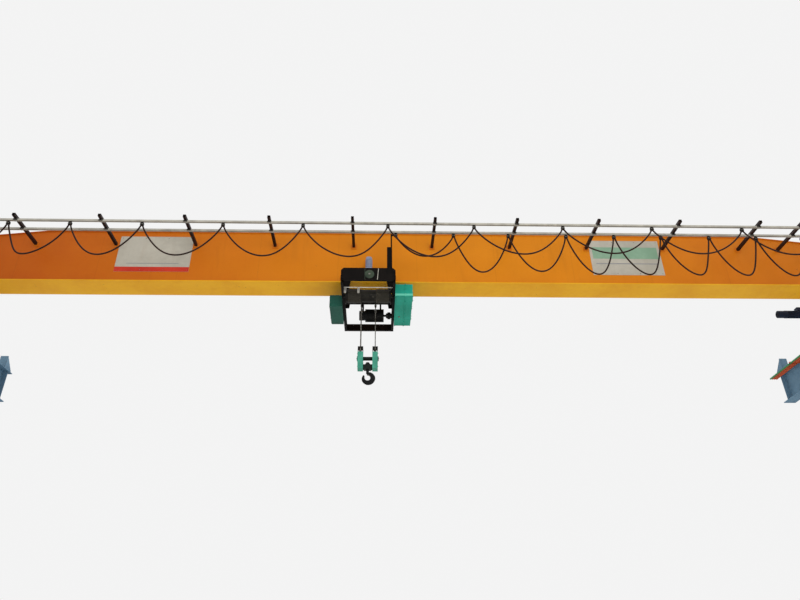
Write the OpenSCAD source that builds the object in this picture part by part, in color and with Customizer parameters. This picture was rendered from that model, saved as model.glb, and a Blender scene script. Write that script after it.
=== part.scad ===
// Overhead travelling bridge crane with one box girder. Two end carriages run
// on a bay of runway beams, and an underslung trolley with a rope hoist runs
// on the lips of the girder's bottom flange. Two festoon cable lines hang
// from arms on the front web. Lengths are in millimetres, Z is up, X runs
// along the girder and the front of the crane faces -Y.

/* [Runway] */
// Distance between the two rail centres
span = 17000; // [16000:100:18000]
// Length of the bay of runway that carries the crane
bay_length = 6000; // [5800:100:9000]
// Height of a runway beam
beam_height = 650; // [500:10:800]
// Width of a runway beam's flanges
beam_width = 250; // [240:10:300]
// Thickness of a runway beam's flanges
beam_flange = 16; // [12:1:25]
// Thickness of a runway beam's web
beam_web = 10; // [8:1:16]
// Thickness of the stiffener plates
stiffener = 10; // [8:1:16]
// Distance between stiffener plates
stiffener_pitch = 1425; // [1000:25:1425]
// Width of the square bar rail
rail_width = 60; // [50:1:64]
// Height of the rail above the beam
rail_height = 60; // [50:1:80]
// Holding-down bolt hole
bolt_hole = 26; // [18:1:30]
// Bolt spacing across the beam
bolt_gauge_x = 150; // [120:5:170]
// Bolt spacing along the beam
bolt_gauge_y = 200; // [160:10:240]
// Distance from the beam's end to the middle of its bolts
bolt_inset = 150; // [150:5:200]
// Length of an end stop along the rail
stop_length = 250; // [200:10:300]
// Height of an end stop above the rail
stop_height = 240; // [220:10:300]
// Thickness of an end stop's plates
stop_plate = 20; // [12:1:25]
// Distance between the bars of the conductor line
bar_pitch = 45; // [40:1:50]
// Width of a conductor bar
bar_w = 20; // [16:1:24]
// Height of a conductor bar
bar_h = 28; // [24:1:32]

/* [Girder] */
// Length of girder beyond each rail centre
girder_overhang = 200; // [180:10:400]
// Depth of the box girder in the middle
girder_depth = 1120; // [1000:10:1300]
// Width of the bottom flange that the trolley runs on
flange_width = 500; // [480:10:560]
// Thickness of the bottom flange
flange_thick = 16; // [12:1:25]
// Width of the top flange
top_width = 400; // [360:10:460]
// Thickness of the top flange
top_thick = 10; // [8:1:16]
// Width over the two webs
box_width = 346; // [320:2:360]
// Thickness of each web
web_thick = 8; // [6:1:12]
// Length of the sloping end of the top edge
taper_length = 2100; // [1500:50:3000]
// Drop of the top edge at the girder's ends
taper_drop = 250; // [0:10:350]
// Thickness of the girder's end plates
end_plate = 10; // [8:1:16]

/* [End carriages] */
// Distance between wheel centres on a carriage
wheelbase = 2400; // [2000:50:2500]
// Length of carriage beyond each wheel centre
carriage_end = 250; // [230:10:300]
// Width of a carriage
carriage_width = 250; // [240:2:290]
// Height of a carriage's box
carriage_height = 239; // [225:1:280]
// Height of the carriage's underside above the rail
carriage_clear = 45; // [30:1:60]
// Thickness of a carriage's plates
carriage_wall = 10; // [8:1:14]
// Thickness of the saddle under the girder
saddle_thick = 16; // [10:1:25]
// Length of the saddle under the girder
saddle_length = 700; // [560:10:1000]
// Tread diameter of a bridge wheel
bridge_wheel_d = 250; // [230:5:260]
// Tread width between a bridge wheel's flanges
bridge_tread = 75; // [72:1:90]
// Height of a wheel flange above its tread
wheel_lip = 20; // [12:1:22]
// Thickness of a wheel flange
wheel_lip_w = 15; // [10:1:18]
// Diameter of a bridge wheel's shaft
bridge_shaft_d = 60; // [50:1:70]
// Diameter of a bearing housing
bearing_d = 150; // [120:5:170]
// Thickness of a bearing housing
bearing_thick = 20; // [12:1:25]
// Diameter of a rubber buffer
buffer_d = 120; // [90:5:140]
// Length of a rubber buffer with its plate
buffer_length = 90; // [60:5:110]
// Height of the travel motor above its wheel's shaft
motor_rise = 370; // [300:5:380]
// Diameter of the travel motor
motor_d = 160; // [140:5:200]
// Length of the travel motor
motor_length = 590; // [300:10:620]
// Thickness of the travel gear case
case_thick = 120; // [90:5:140]

/* [Festoon] */
// Height of the arms above the girder's underside
arm_height = 800; // [700:10:820]
// Reach of the arms from the front web
arm_reach = 900; // [880:10:1000]
// Size of the square tube that an arm is made of
arm_size = 50; // [40:1:60]
// Distance between arms
arm_pitch = 1460; // [1300:10:1500]
// Middle of the row of arms, from mid-span
arm_shift = -240; // [-300:10:300]
// Distance from the front web to the inner track
inner_offset = 527; // [500:1:560]
// Distance from the front web to the outer track
outer_offset = 787; // [760:1:840]
// Width of the C section track
track_w = 40; // [36:1:50]
// Height of the C section track
track_h = 36; // [34:1:40]
// Wall of the C section track
track_wall = 3; // [2:0.5:3]
// Width of the slot under the track
track_slot = 14; // [12:1:16]
// Diameter of the cables
cable_d = 28; // [16:1:30]
// Lowest height of the outer loops above the rail
outer_sag_z = 375; // [340:5:500]
// Lowest height of the inner loops above the rail
inner_sag_z = 220; // [200:5:400]

/* [Boards] */
// Height of a board
board_height = 770; // [400:10:780]
// Thickness of a board
board_thick = 4; // [2:1:8]
// Height of a board's lower edge above the girder's underside
board_rise = 240; // [100:10:300]

/* [Trolley] */
// Trolley centre from mid-span
trolley_x = -680; // [-1000:10:50]
// Width of the trolley frame along the girder
frame_width = 930; // [900:10:960]
// Length of the trolley frame across the girder
frame_length = 1780; // [1760:10:1800]
// Depth of the side and rear members
member_depth = 150; // [140:5:160]
// Depth of the front member
front_depth = 290; // [240:5:300]
// Height of the front member's lower edge above the side members'
front_rise = 45; // [0:5:60]
// Distance from the girder's underside to the frame's underside
frame_hang = 400; // [395:5:440]
// Thickness of the frame's plates
frame_plate = 12; // [8:1:14]
// Width of the side members' lips
member_lip = 45; // [20:1:45]
// Tread diameter of a trolley wheel
trolley_wheel_d = 160; // [150:5:165]
// Wheel centre from the trolley's middle, along the girder
trolley_wheel_x = 390; // [380:1:395]
// Tread width of a trolley wheel
trolley_tread = 51; // [40:1:56]
// Diameter of a trolley axle
trolley_axle_d = 40; // [30:1:45]
// Thickness of a wheel bracket
bracket_thick = 20; // [12:1:22]
// Width of a wheel bracket
bracket_width = 130; // [120:2:130]
// Position of the trolley stops from mid-span
trolley_stop_x = 7600; // [7000:50:7600]

/* [Hoist] */
// Distance between the two pairs of rope falls
fall_spacing = 250; // [240:2:260]
// Diameter of the hoist rope
rope_d = 14; // [10:1:15]
// Diameter of the drum's barrel
drum_d = 226; // [200:2:240]
// Diameter of the drum's flanges
drum_flange_d = 284; // [270:2:290]
// Length of the drum's barrel
drum_length = 770; // [740:10:780]
// Diameter of the drum's shaft
drum_shaft_d = 60; // [40:1:70]
// Number of rope turns wound on each half of the drum
rope_turns = 14; // [6:1:14]
// Distance between rope turns
turn_pitch = 16; // [15.5:0.5:16]
// Diameter of the hoist motor
hoist_motor_d = 240; // [200:5:250]
// Length of the hoist motor
hoist_motor_length = 445; // [400:5:460]
// Width of the hoist gearbox
gearbox_width = 300; // [260:5:320]
// Length of the hoist gearbox
gearbox_length = 1120; // [1000:10:1140]
// Height of the hoist gearbox
gearbox_height = 240; // [220:5:250]
// Width of the electrical panel
panel_width = 220; // [160:5:240]
// Length of the electrical panel
panel_length = 685; // [600:5:700]
// Height of the electrical panel
panel_height = 230; // [200:5:240]

/* [Hook block] */
// Pitch diameter of the block's sheaves
sheave_d = 270; // [260:2:276]
// Height of the sheaves' axle below the rail
block_drop = 1170; // [1000:10:1600]
// Width of a sheave cover
cover_width = 92; // [84:2:100]
// Thickness of a cover's plates
cover_wall = 8; // [5:1:9]
// Diameter of the block's axle
axle_d = 50; // [40:1:56]
// Width of the crosshead, front to back
crosshead_width = 100; // [84:2:110]
// Height of the crosshead
crosshead_height = 80; // [64:2:84]
// Diameter of the hook's shank
shank_d = 50; // [36:1:56]
// Inside diameter of the hook's bowl
hook_bowl = 92; // [80:2:110]
// Thickness of the hook where it carries the load
hook_depth = 86; // [60:2:90]

/* [Hidden] */
$fn = 64;

// Clearances: a wheel over its rail, a shaft in its bore
run_gap = 0.3;
fit = 0.1;

// Heights, with the top of the rail as zero
rail_foot = -rail_height;
beam_bottom = rail_foot - beam_height;
carriage_top = carriage_clear + carriage_height;
girder_z0 = carriage_top + saddle_thick;
girder_z1 = girder_z0 + girder_depth;
web_z0 = girder_z0 + flange_thick;
web_z1 = girder_z1 - top_thick;

// Conductor line on the inner side of the right beam
bar_x = span / 2 - beam_width / 2 - 30;
bar_top = rail_foot - 90;
line_bracket = 20;

// Girder plan
rail_x = span / 2;
girder_half = rail_x + girder_overhang;
taper_x = girder_half - taper_length;
web_y = box_width / 2;
lip_y = flange_width / 2;

// End carriages and bridge wheels
carriage_half = wheelbase / 2 + carriage_end;
carriage_cut = 75;
bridge_wheel_z = bridge_wheel_d / 2 + run_gap;
bridge_wheel_w = bridge_tread + 2 * wheel_lip_w;
pocket_half = bridge_wheel_d / 2 + wheel_lip + 20;
buffer_z = carriage_clear + carriage_height / 2;
stop_y = bay_length / 2 - stop_length;

// Festoon: clamp centres along each line, chosen by hand from end to end
outer_clamps = [-7990, -6920, -5865, -4630, -3230, -1835, -345, 1180, 2765,
                4370, 6005, 7640];
inner_clamps = [840, 1835, 2885, 3765, 4630, 5520, 6390, 7250];
inner_end_x = 8200;

// How much higher each loop hangs than the lowest of its line
outer_lift = [0, 0, 0, 0, 0, 0, 0, 30, 65, 65, 90];
inner_lift = [350, 25, 0, 0, 0, 0, 0, 0, 0];

arm_foot = 100;
storage_arm = 40;
arm_z = girder_z0 + arm_height;
track_z = arm_z - track_h;
track_half = rail_x - 150;
inner_y = -(web_y + inner_offset);
outer_y = -(web_y + outer_offset);
roller_d = 25;
roller_z = track_z + track_wall + run_gap + roller_d / 2;
clamp_l = 60;
clamp_w = 36;
clamp_h = 55;
clamp_top = track_z - 24;
clamp_z = clamp_top - clamp_h;
cable_side = 15;

// Trolley frame
frame_x = frame_width / 2;
frame_y = frame_length / 2;
frame_z0 = girder_z0 - frame_hang;
member_z1 = frame_z0 + member_depth;
inner_x = frame_x - frame_plate;
tow_x = frame_x + 15;
bracket_gap = 20;
bracket_y = lip_y + bracket_gap;
trolley_wheel_z = web_z0 + run_gap + trolley_wheel_d / 2;
tread_y = lip_y + 5;
boss_thick = 16;
raise_y = bracket_y + bracket_thick;
raise_z = girder_z0 - 20;
drum_boss = 12;

// Hoist motor and the beam that it hangs from
motor_y = 300;
motor_axis_z = frame_z0 + 15;
motor_shaft_d = 40;
motor_beam_z = girder_z0 - 100;

// Hoist drum, falls and block
drum_y = -400;
drum_z = frame_z0 + 20;
fall_y = drum_y + drum_d / 2 + rope_d / 2 + run_gap;
dead_y = fall_y + sheave_d;
block_y = fall_y + sheave_d / 2;
fall_x = fall_spacing / 2;
anchor_z = frame_z0 + 10;
sheave_rim = sheave_d / 2 + 13;
cover_r = sheave_rim + 24;
cover_cut = 60;
guard_top = 200;
crosshead_z = -165;
bowl_z = -355;

// The part's origin is the middle of the left runway beam's underside
module crane() {
  translate([rail_x, 0, -beam_bottom]) children();
}

module on_trolley() {
  crane() translate([trolley_x, 0, 0]) children();
}

module on_block() {
  on_trolley() translate([0, block_y, -block_drop]) children();
}

// A box between two opposite corners
module block(a, b) {
  translate(a) cube(b - a);
}

module rod_x(d, x0, x1) {
  translate([x0, 0, 0]) rotate([0, 90, 0]) cylinder(d = d, h = x1 - x0);
}

module rod_y(d, y0, y1) {
  translate([0, y0, 0]) rotate([-90, 0, 0]) cylinder(d = d, h = y1 - y0);
}

// A drawn outline in X and Z, made a plate from y0 to y1
module plate_y(y0, y1) {
  translate([0, y1, 0]) rotate([90, 0, 0]) linear_extrude(y1 - y0) children();
}

// A drawn outline in Y and Z, made a plate from x0 to x1
module plate_x(x0, x1) {
  translate([x0, 0, 0]) rotate([90, 0, 90]) linear_extrude(x1 - x0) children();
}

module both_x() {
  children();
  mirror([1, 0, 0]) children();
}

module both_y() {
  children();
  mirror([0, 1, 0]) children();
}

// A rectangle from corner a to corner b with round corners
module round_rect(a, b, r) {
  translate(a + [r, 0]) square(b - a - [2 * r, 0]);
  translate(a + [0, r]) square(b - a - [0, 2 * r]);
  for (x = [a.x + r, b.x - r], y = [a.y + r, b.y - r]) translate([x, y]) circle(r);
}

// Motor along +X from x = 0: end shields, a ribbed body and a fan cowl
module ribbed_motor(d, l, ribs, cowl_d) {
  cowl = 0.24 * l;
  shield = 0.06 * l;
  rib_h = 0.07 * d;
  core = d - 2 * rib_h;
  rod_x(d, 0, shield);
  rod_x(core, 0, l - cowl);
  rod_x(d, l - cowl - shield, l - cowl);
  rod_x(cowl_d, l - cowl, l);
  for (i = [0 : ribs - 1]) rotate([i * 360 / ribs, 0, 0]) {
    block([shield / 2, -2, core / 2 - 4], [l - cowl - shield / 2, 2, d / 2 - 1]);
  }
}

// Runway

module beam_section() {
  half = beam_width / 2;
  translate([-half, beam_bottom]) square([beam_width, beam_flange]);
  translate([-half, rail_foot - beam_flange]) square([beam_width, beam_flange]);
  translate([-beam_web / 2, beam_bottom]) square([beam_web, beam_height]);
}

module runway_beam(side) {
  count = floor((bay_length / 2 - bolt_inset) / stiffener_pitch);
  color("#4d6f87") crane() translate([side * rail_x, 0, 0]) difference() {
    union() {
      plate_y(-bay_length / 2, bay_length / 2) beam_section();
      for (i = [-count : count]) both_x() {
        translate([0, i * stiffener_pitch - stiffener / 2, 0]) stiffener_plate();
      }
    }
    for (end = [-1, 1], x = [-1, 1], y = [-1, 1]) {
      translate([x * bolt_gauge_x / 2, end * (bay_length / 2 - bolt_inset) + y * bolt_gauge_y / 2,
                 beam_bottom - 1]) cylinder(d = bolt_hole, h = beam_flange + 2);
    }
  }
}

// One stiffener between the flanges, set in from their edges
module stiffener_plate() {
  edge = beam_width / 2 - 10;
  z0 = beam_bottom + beam_flange;
  z1 = rail_foot - beam_flange;
  block([beam_web / 2, 0, z0], [edge, stiffener, z1]);
}

module runway_beam_left() {
  runway_beam(-1);
}

module runway_beam_right() {
  runway_beam(1);
}

module runway_rails() {
  half = stop_y - 5;
  color("#6b6f73") crane() both_x() translate([rail_x, 0, 0]) {
    block([-rail_width / 2, -half, rail_foot], [rail_width / 2, half, 0]);
  }
}

// An end stop: foot, upright and two ribs on the beam's top flange
module end_stop() {
  foot_w = 90;
  face_w = 80;
  rib_y = stop_y + stop_plate;
  end_y = bay_length / 2;
  top = rail_foot + stop_plate;
  block([-foot_w, stop_y, rail_foot], [foot_w, end_y, top]);
  block([-face_w, stop_y, top], [face_w, rib_y, stop_height]);
  for (x = [-face_w, face_w - stop_plate]) {
    plate_x(x, x + stop_plate) {
      polygon([[rib_y, top], [end_y, top], [end_y, top + 30], [rib_y, stop_height - 20]]);
    }
  }
}

module runway_end_stops() {
  color("#4d6f87") crane() both_y() both_x() translate([rail_x, 0, 0]) end_stop();
}

// One bar of the conductor line, counted inward from the right beam
module conductor_rail(i) {
  x = bar_x - i * bar_pitch;
  length = bay_length / 2 - 40;
  groove = 8;
  difference() {
    block([x - bar_w / 2, -length, bar_top - bar_h], [x + bar_w / 2, length, bar_top]);
    block([x - groove / 2, -length - 1, bar_top - bar_h - 1],
          [x + groove / 2, length + 1, bar_top - bar_h + 12]);
  }
}

module conductor_bars() {
  hang = stiffener_pitch / 2;
  color("#d2622a") crane() {
    for (i = [0 : 2]) conductor_rail(i);
    for (y = [-3 * hang, -hang, hang, 3 * hang]) {
      block([bar_x - 3 * bar_pitch - 12, y - 20, bar_top],
            [rail_x - beam_web / 2, y + 20, bar_top + line_bracket]);
    }
  }
}

module earth_bar() {
  color("#3f8f4e") crane() conductor_rail(3);
}

// Girder

module girder_outline(z0, z1, drop) {
  polygon([[-girder_half, z0], [girder_half, z0], [girder_half, z1 - drop], [taper_x, z1],
           [-taper_x, z1], [-girder_half, z1 - drop]]);
}

module girder_bottom_flange() {
  color("#e0a51c") crane() {
    block([-girder_half, -lip_y, girder_z0], [girder_half, lip_y, web_z0]);
  }
}

module girder_top_flange() {
  color("#d98018") crane() plate_y(-top_width / 2, top_width / 2) {
    polygon([[-girder_half, web_z1 - taper_drop], [-taper_x, web_z1], [taper_x, web_z1],
             [girder_half, web_z1 - taper_drop], [girder_half, girder_z1 - taper_drop],
             [taper_x, girder_z1], [-taper_x, girder_z1],
             [-girder_half, girder_z1 - taper_drop]]);
  }
}

module girder_front_web() {
  color("#dd7a16") crane() plate_y(-web_y, web_thick - web_y) {
    girder_outline(web_z0, web_z1, taper_drop);
  }
}

module girder_rear_web() {
  color("#dd7a16") crane() plate_y(web_y - web_thick, web_y) {
    girder_outline(web_z0, web_z1, taper_drop);
  }
}

// The plate closes the box below the sloping top flange
module girder_end_plates() {
  y = web_y - web_thick;
  slope = taper_drop / taper_length;
  color("#dd7a16") crane() both_x() plate_y(-y, y) {
    polygon([[girder_half - end_plate, web_z0], [girder_half, web_z0],
             [girder_half, web_z1 - taper_drop],
             [girder_half - end_plate, web_z1 - taper_drop + slope * end_plate]]);
  }
}

// End carriages

// Side plate with its lower corners cut back
module carriage_side() {
  cut = carriage_cut;
  polygon([[-carriage_half, carriage_clear + cut], [-carriage_half + cut, carriage_clear],
           [carriage_half - cut, carriage_clear], [carriage_half, carriage_clear + cut],
           [carriage_half, carriage_top], [-carriage_half, carriage_top]]);
}

module end_carriage(side) {
  half = carriage_width / 2;
  wall = carriage_wall;
  color("#dd7a16") crane() translate([side * rail_x, 0, 0]) difference() {
    union() {
      both_x() plate_x(half - wall, half) carriage_side();
      block([-half + wall, -carriage_half, carriage_top - wall],
            [half - wall, carriage_half, carriage_top]);
      both_y() {
        block([-half + wall, carriage_half - wall, carriage_clear + carriage_cut],
              [half - wall, carriage_half, carriage_top - wall]);
        block([-half + wall, wheelbase / 2 - pocket_half - wall, carriage_clear],
              [half - wall, wheelbase / 2 - pocket_half, carriage_top - wall]);
      }
      block([-half + wall, -wheelbase / 2 + pocket_half, carriage_clear],
            [half - wall, wheelbase / 2 - pocket_half, carriage_clear + wall]);
      block([-half, -saddle_length / 2, carriage_top], [half, saddle_length / 2, girder_z0]);
      both_x() both_y() translate([0, wheelbase / 2, bridge_wheel_z]) {
        rod_x(bearing_d, half, half + bearing_thick);
      }
    }
    for (y = [-1, 1]) translate([0, y * wheelbase / 2, bridge_wheel_z]) {
      rod_x(bridge_shaft_d + fit, -half - bearing_thick - 1, half + bearing_thick + 1);
    }
  }
}

module end_carriage_left() {
  end_carriage(-1);
}

module end_carriage_right() {
  end_carriage(1);
}

module carriage_buffers() {
  plate = 8;
  neck = 0.8 * buffer_d;
  color("#26282a") crane() both_y() both_x() {
    translate([rail_x, carriage_half, buffer_z]) {
      rod_y(buffer_d, 0, plate);
      rod_y(neck, plate, buffer_length - 20);
      rod_y(buffer_d, buffer_length - 20, buffer_length);
    }
  }
}

// Two wheels on one axis line. The shaft on the driven side is longer
module bridge_wheel_pair(y, driven) {
  hub_half = carriage_width / 2 - carriage_wall - 2;
  outer = carriage_width / 2 + bearing_thick + 6;
  color("#5b5e60") crane() for (side = [-1, 1]) scale([side, 1, 1]) {
    reach = outer + (side == driven ? case_thick + 2 : 0);
    translate([rail_x, y, bridge_wheel_z]) bridge_wheel(hub_half, outer, reach);
  }
}

module bridge_wheel(hub_half, outer, reach) {
  difference() {
    union() {
      rod_x(bridge_wheel_d, -bridge_wheel_w / 2, bridge_wheel_w / 2);
      both_x() rod_x(bridge_wheel_d + 2 * wheel_lip, bridge_tread / 2, bridge_wheel_w / 2);
      rod_x(bridge_shaft_d + 40, -hub_half, hub_half);
      rod_x(bridge_shaft_d, -reach, outer);
    }
    // The web of the wheel is dished on both sides
    both_x() difference() {
      rod_x(bridge_wheel_d - 50, bridge_wheel_w / 2 - 28, bridge_wheel_w / 2 + 1);
      rod_x(bridge_shaft_d + 40, 0, hub_half + 2);
    }
  }
}

module bridge_wheels_near() {
  bridge_wheel_pair(-wheelbase / 2, -1);
}

module bridge_wheels_far() {
  bridge_wheel_pair(wheelbase / 2, 1);
}

// A gear case hangs on the wheel's shaft and carries the motor above it
module bridge_drive() {
  face = carriage_width / 2 + bearing_thick;
  low_r = 105;
  high_r = 82;
  inset = 3;
  difference() {
    union() {
      plate_x(-face - case_thick, -face) {
        circle(low_r);
        translate([0, motor_rise]) circle(high_r);
        polygon([[inset - low_r, 0], [low_r - inset, 0], [high_r - inset, motor_rise],
                 [inset - high_r, motor_rise]]);
      }
      translate([-face - case_thick, 0, motor_rise]) mirror([1, 0, 0]) {
        ribbed_motor(motor_d, motor_length, 24, 0.94 * motor_d);
        block([60, -50, motor_d / 2 - 8], [180, 50, motor_d / 2 + 55]);
      }
      // Torque arm down to the carriage's side
      block([-face, -40, motor_rise - 200], [-face + bearing_thick, 40, motor_rise - 150]);
    }
    rod_x(bridge_shaft_d + fit, -face - case_thick - 1, -face + 1);
  }
}

// The right drive turns a rear wheel, and the left one a front wheel
module bridge_drives() {
  color("#22324a") crane() {
    translate([rail_x, wheelbase / 2, bridge_wheel_z]) bridge_drive();
    translate([-rail_x, -wheelbase / 2, bridge_wheel_z]) rotate([0, 0, 180]) bridge_drive();
  }
}

// Collector arm on the right carriage, with one shoe under each bar
module current_collector() {
  y0 = 370;
  y1 = 430;
  face = rail_x - carriage_width / 2;
  leg = bar_x - 3 * bar_pitch - 40;
  shoe_top = bar_top - bar_h - 5;
  shelf = shoe_top - 40;
  wall = 12;
  color("#3a3d40") crane() {
    block([leg, y0, 60], [face, y1, 60 + wall]);
    block([leg, y0, shelf], [leg + wall, y1, 60]);
    block([leg, y0, shelf - wall], [bar_x + 20, y1, shelf]);
    for (i = [0 : 3]) translate([bar_x - i * bar_pitch, 0, 0]) {
      block([-12, y0 - 20, shelf], [12, y1 + 20, shoe_top]);
    }
  }
}

module trolley_stops() {
  plate = 12;
  color("#26282a") crane() both_x() both_y() {
    block([trolley_stop_x + 20, lip_y - 50, web_z0], [trolley_stop_x + 20 + plate, lip_y, web_z0 + 130]);
    block([trolley_stop_x + 20 + plate, lip_y - 50, web_z0], [trolley_stop_x + 120, lip_y, web_z0 + plate]);
    translate([0, lip_y - 25, trolley_wheel_z]) rod_x(44, trolley_stop_x, trolley_stop_x + 20);
  }
}

// Plain boards on the front web, each between the feet of two arms
module sign_boards() {
  half = arm_pitch / 2 - arm_foot / 2 - 10;
  z = girder_z0 + board_rise;
  color("#e4e4de") crane() for (s = [-1, 1]) translate([arm_shift + s * 3 * arm_pitch, 0, 0]) {
    block([-half, -web_y - board_thick, z], [half, -web_y, z + board_height]);
  }
}

// Festoon

module festoon_arm() {
  half = arm_size / 2;
  wall = 4;
  foot = 8;
  end_y = -web_y - arm_reach;
  block([-arm_foot / 2, -web_y - foot, arm_z - 30],
        [arm_foot / 2, -web_y, arm_z + arm_size + 30]);
  difference() {
    block([-half, end_y, arm_z], [half, -web_y - foot, arm_z + arm_size]);
    block([-half + wall, end_y - 1, arm_z + wall],
          [half - wall, -web_y - foot - 20, arm_z + arm_size - wall]);
  }
}

module festoon_arms() {
  count = 2 * floor(track_half / arm_pitch + 0.5);
  color("#2c2523") crane() for (i = [0 : count - 1]) {
    translate([arm_shift + (i - (count - 1) / 2) * arm_pitch, 0, 0]) festoon_arm();
  }
  color("#2c2523") crane() translate([arm_shift + 5 * arm_pitch + storage_arm, 0, 0]) festoon_arm();
}

// C section, open below
module track(y) {
  w = track_w / 2;
  s = track_slot / 2;
  t = track_wall;
  translate([0, y, track_z]) plate_x(-track_half, track_half) {
    polygon([[-w, 0], [-s, 0], [-s, t], [-w + t, t], [-w + t, track_h - t],
             [w - t, track_h - t], [w - t, t], [s, t], [s, 0], [w, 0], [w, track_h],
             [-w, track_h]]);
  }
}

module festoon_inner_track() {
  color("#6d7276") crane() track(inner_y);
}

module festoon_outer_track() {
  color("#6d7276") crane() track(outer_y);
}

// Carrier: two pairs of rollers in the track, a stem and a cable clamp below
module cable_carrier(x, y) {
  stem = 3;
  translate([x, y, 0]) {
    for (dx = [-9, 9]) translate([dx * 1.5, 0, roller_z]) {
      rod_y(8, -13, 13);
      both_y() rod_y(roller_d, stem + 2, 13);
    }
    block([-20, -stem, clamp_top - 1], [20, stem, roller_z + 5]);
    plate_y(-clamp_w / 2, clamp_w / 2) {
      round_rect([-clamp_l / 2, clamp_z], [clamp_l / 2, clamp_top], 6);
    }
  }
}

module moving_carrier(i) {
  color("#3b3f42") crane() cable_carrier(inner_clamps[i - 1], inner_y);
}

module festoon_clamps() {
  color("#3b3f42") crane() {
    for (x = outer_clamps) cable_carrier(x, outer_y);
    cable_carrier(inner_end_x, inner_y);
  }
}

// A closed tube through rings of k points each
module tube(rings, k) {
  n = len(rings);
  sides = [for (i = [0 : n - 2], j = [0 : k - 1])
    [i * k + j, i * k + (j + 1) % k, (i + 1) * k + (j + 1) % k, (i + 1) * k + j]];
  start = [for (j = [k - 1 : -1 : 0]) j];
  finish = [for (j = [0 : k - 1]) (n - 1) * k + j];
  polyhedron([for (r = rings) each r], concat([start], sides, [finish]), convexity = 8);
}

// Ring of a hanging loop at s from 0 to 1. Its middle follows a parabola,
// and the end rings lie flat against the clamps above them
function loop_ring(x0, x1, z0, z1, s, k) =
  let (width = x1 - x0, depth = z0 - z1, slope = -4 * depth * (1 - 2 * s) / width,
       q = sqrt(1 + slope * slope), r = cable_d / 2,
       n = s == 0 ? [1, 0] : s == 1 ? [-1, 0] : [-slope / q, 1 / q])
  [for (j = [0 : k - 1]) let (a = j * 360 / k)
    [x0 + width * s + r * cos(a) * n.x, r * sin(a),
     z0 - 4 * depth * s * (1 - s) + r * cos(a) * n.y]];

module cable_loops(ends, y, low_z, lift, steps) {
  k = 8;
  for (i = [0 : len(ends) - 2]) translate([0, y, 0]) {
    z = low_z + lift[i];
    tube([for (t = [0 : steps])
      loop_ring(ends[i] + cable_side, ends[i + 1] - cable_side, clamp_z, z, t / steps, k)], k);
  }
}

module outer_cable() {
  color("#2b2320") crane() cable_loops(outer_clamps, outer_y, outer_sag_z, outer_lift, 6);
}

module inner_cable() {
  ends = concat([trolley_x + tow_x], inner_clamps, [inner_end_x]);
  color("#2b2320") crane() cable_loops(ends, inner_y, inner_sag_z, inner_lift, 7);
}

// The arm on the trolley that pulls the first clamp of the inner line
module tow_arm() {
  post_z = girder_z0 + 0.55 * arm_height;
  shelf = 10;
  x1 = frame_x - 53;
  x0 = x1 - 90;
  finger = 24;
  color("#26282a") on_trolley() {
    block([x0, inner_y - 40, member_z1 - shelf], [frame_x - member_lip, inner_y + 40, member_z1]);
    block([x0, inner_y - 25, member_z1], [x1, inner_y + 25, post_z]);
    block([x1 - finger, inner_y - finger / 2, post_z], [x1, inner_y + finger / 2, clamp_top - 6]);
    block([x1, inner_y - 6, clamp_z + 14], [tow_x - clamp_l / 2, inner_y + 6, clamp_z + 40]);
    cable_carrier(tow_x, inner_y);
  }
}

// Trolley

// Side member: a plate raised in the middle to carry the wheel brackets
module side_member() {
  y = frame_y - frame_plate;
  lip = 10;
  plate_x(inner_x, frame_x) {
    polygon([[-y, frame_z0], [y, frame_z0], [y, member_z1], [raise_y, member_z1],
             [raise_y, raise_z], [-raise_y, raise_z], [-raise_y, member_z1], [-y, member_z1]]);
  }
  block([frame_x - member_lip, -y, frame_z0], [inner_x, y, frame_z0 + lip]);
  block([frame_x - member_lip, -y, member_z1 - lip], [inner_x, y, member_z1]);
  translate([0, drum_y, drum_z]) rod_x(130, inner_x - drum_boss, inner_x);
}

module trolley_frame() {
  cut = 45;
  top = frame_z0 + front_depth;
  front_z0 = frame_z0 + front_rise;
  lip = 10;
  color("#151515") on_trolley() difference() {
    union() {
      both_x() side_member();
      plate_y(-frame_y, -frame_y + frame_plate) {
        polygon([[-frame_x, front_z0], [frame_x, front_z0], [frame_x, top - cut],
                 [frame_x - cut, top], [-frame_x + cut, top], [-frame_x, top - cut]]);
      }
      block([-inner_x, -frame_y + frame_plate, front_z0],
            [inner_x, -frame_y + member_lip, front_z0 + lip]);
      block([-frame_x, frame_y - frame_plate, frame_z0], [frame_x, frame_y, member_z1]);
      block([-inner_x, frame_y - member_lip, frame_z0],
            [inner_x, frame_y - frame_plate, frame_z0 + lip]);
    }
    translate([0, drum_y, drum_z]) rod_x(drum_shaft_d + fit, -frame_x - 1, frame_x + 1);
    // Room in the right side member's lower lip for the hoist motor's shaft
    translate([0, motor_y, motor_axis_z]) {
      rod_x(motor_shaft_d + 20, frame_x - member_lip - 1, inner_x);
    }
  }
}

module wheel_brackets() {
  x0 = inner_x - bracket_width;
  top = trolley_wheel_z + 84;
  foot = member_z1 + 10;
  cut = 40;
  color("#1c1c1c") on_trolley() both_x() both_y() difference() {
    union() {
      plate_y(bracket_y, bracket_y + bracket_thick) {
        polygon([[x0 + cut, foot], [inner_x, foot], [inner_x, top - cut], [inner_x - cut, top],
                 [x0 + cut, top], [x0, top - cut], [x0, trolley_wheel_z - 90]]);
      }
      translate([trolley_wheel_x, 0, trolley_wheel_z]) {
        rod_y(90, bracket_y + bracket_thick, bracket_y + bracket_thick + boss_thick);
      }
    }
    translate([trolley_wheel_x, 0, trolley_wheel_z]) {
      rod_y(trolley_axle_d + fit, bracket_y - 1, bracket_y + bracket_thick + boss_thick + 1);
    }
  }
}

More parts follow.
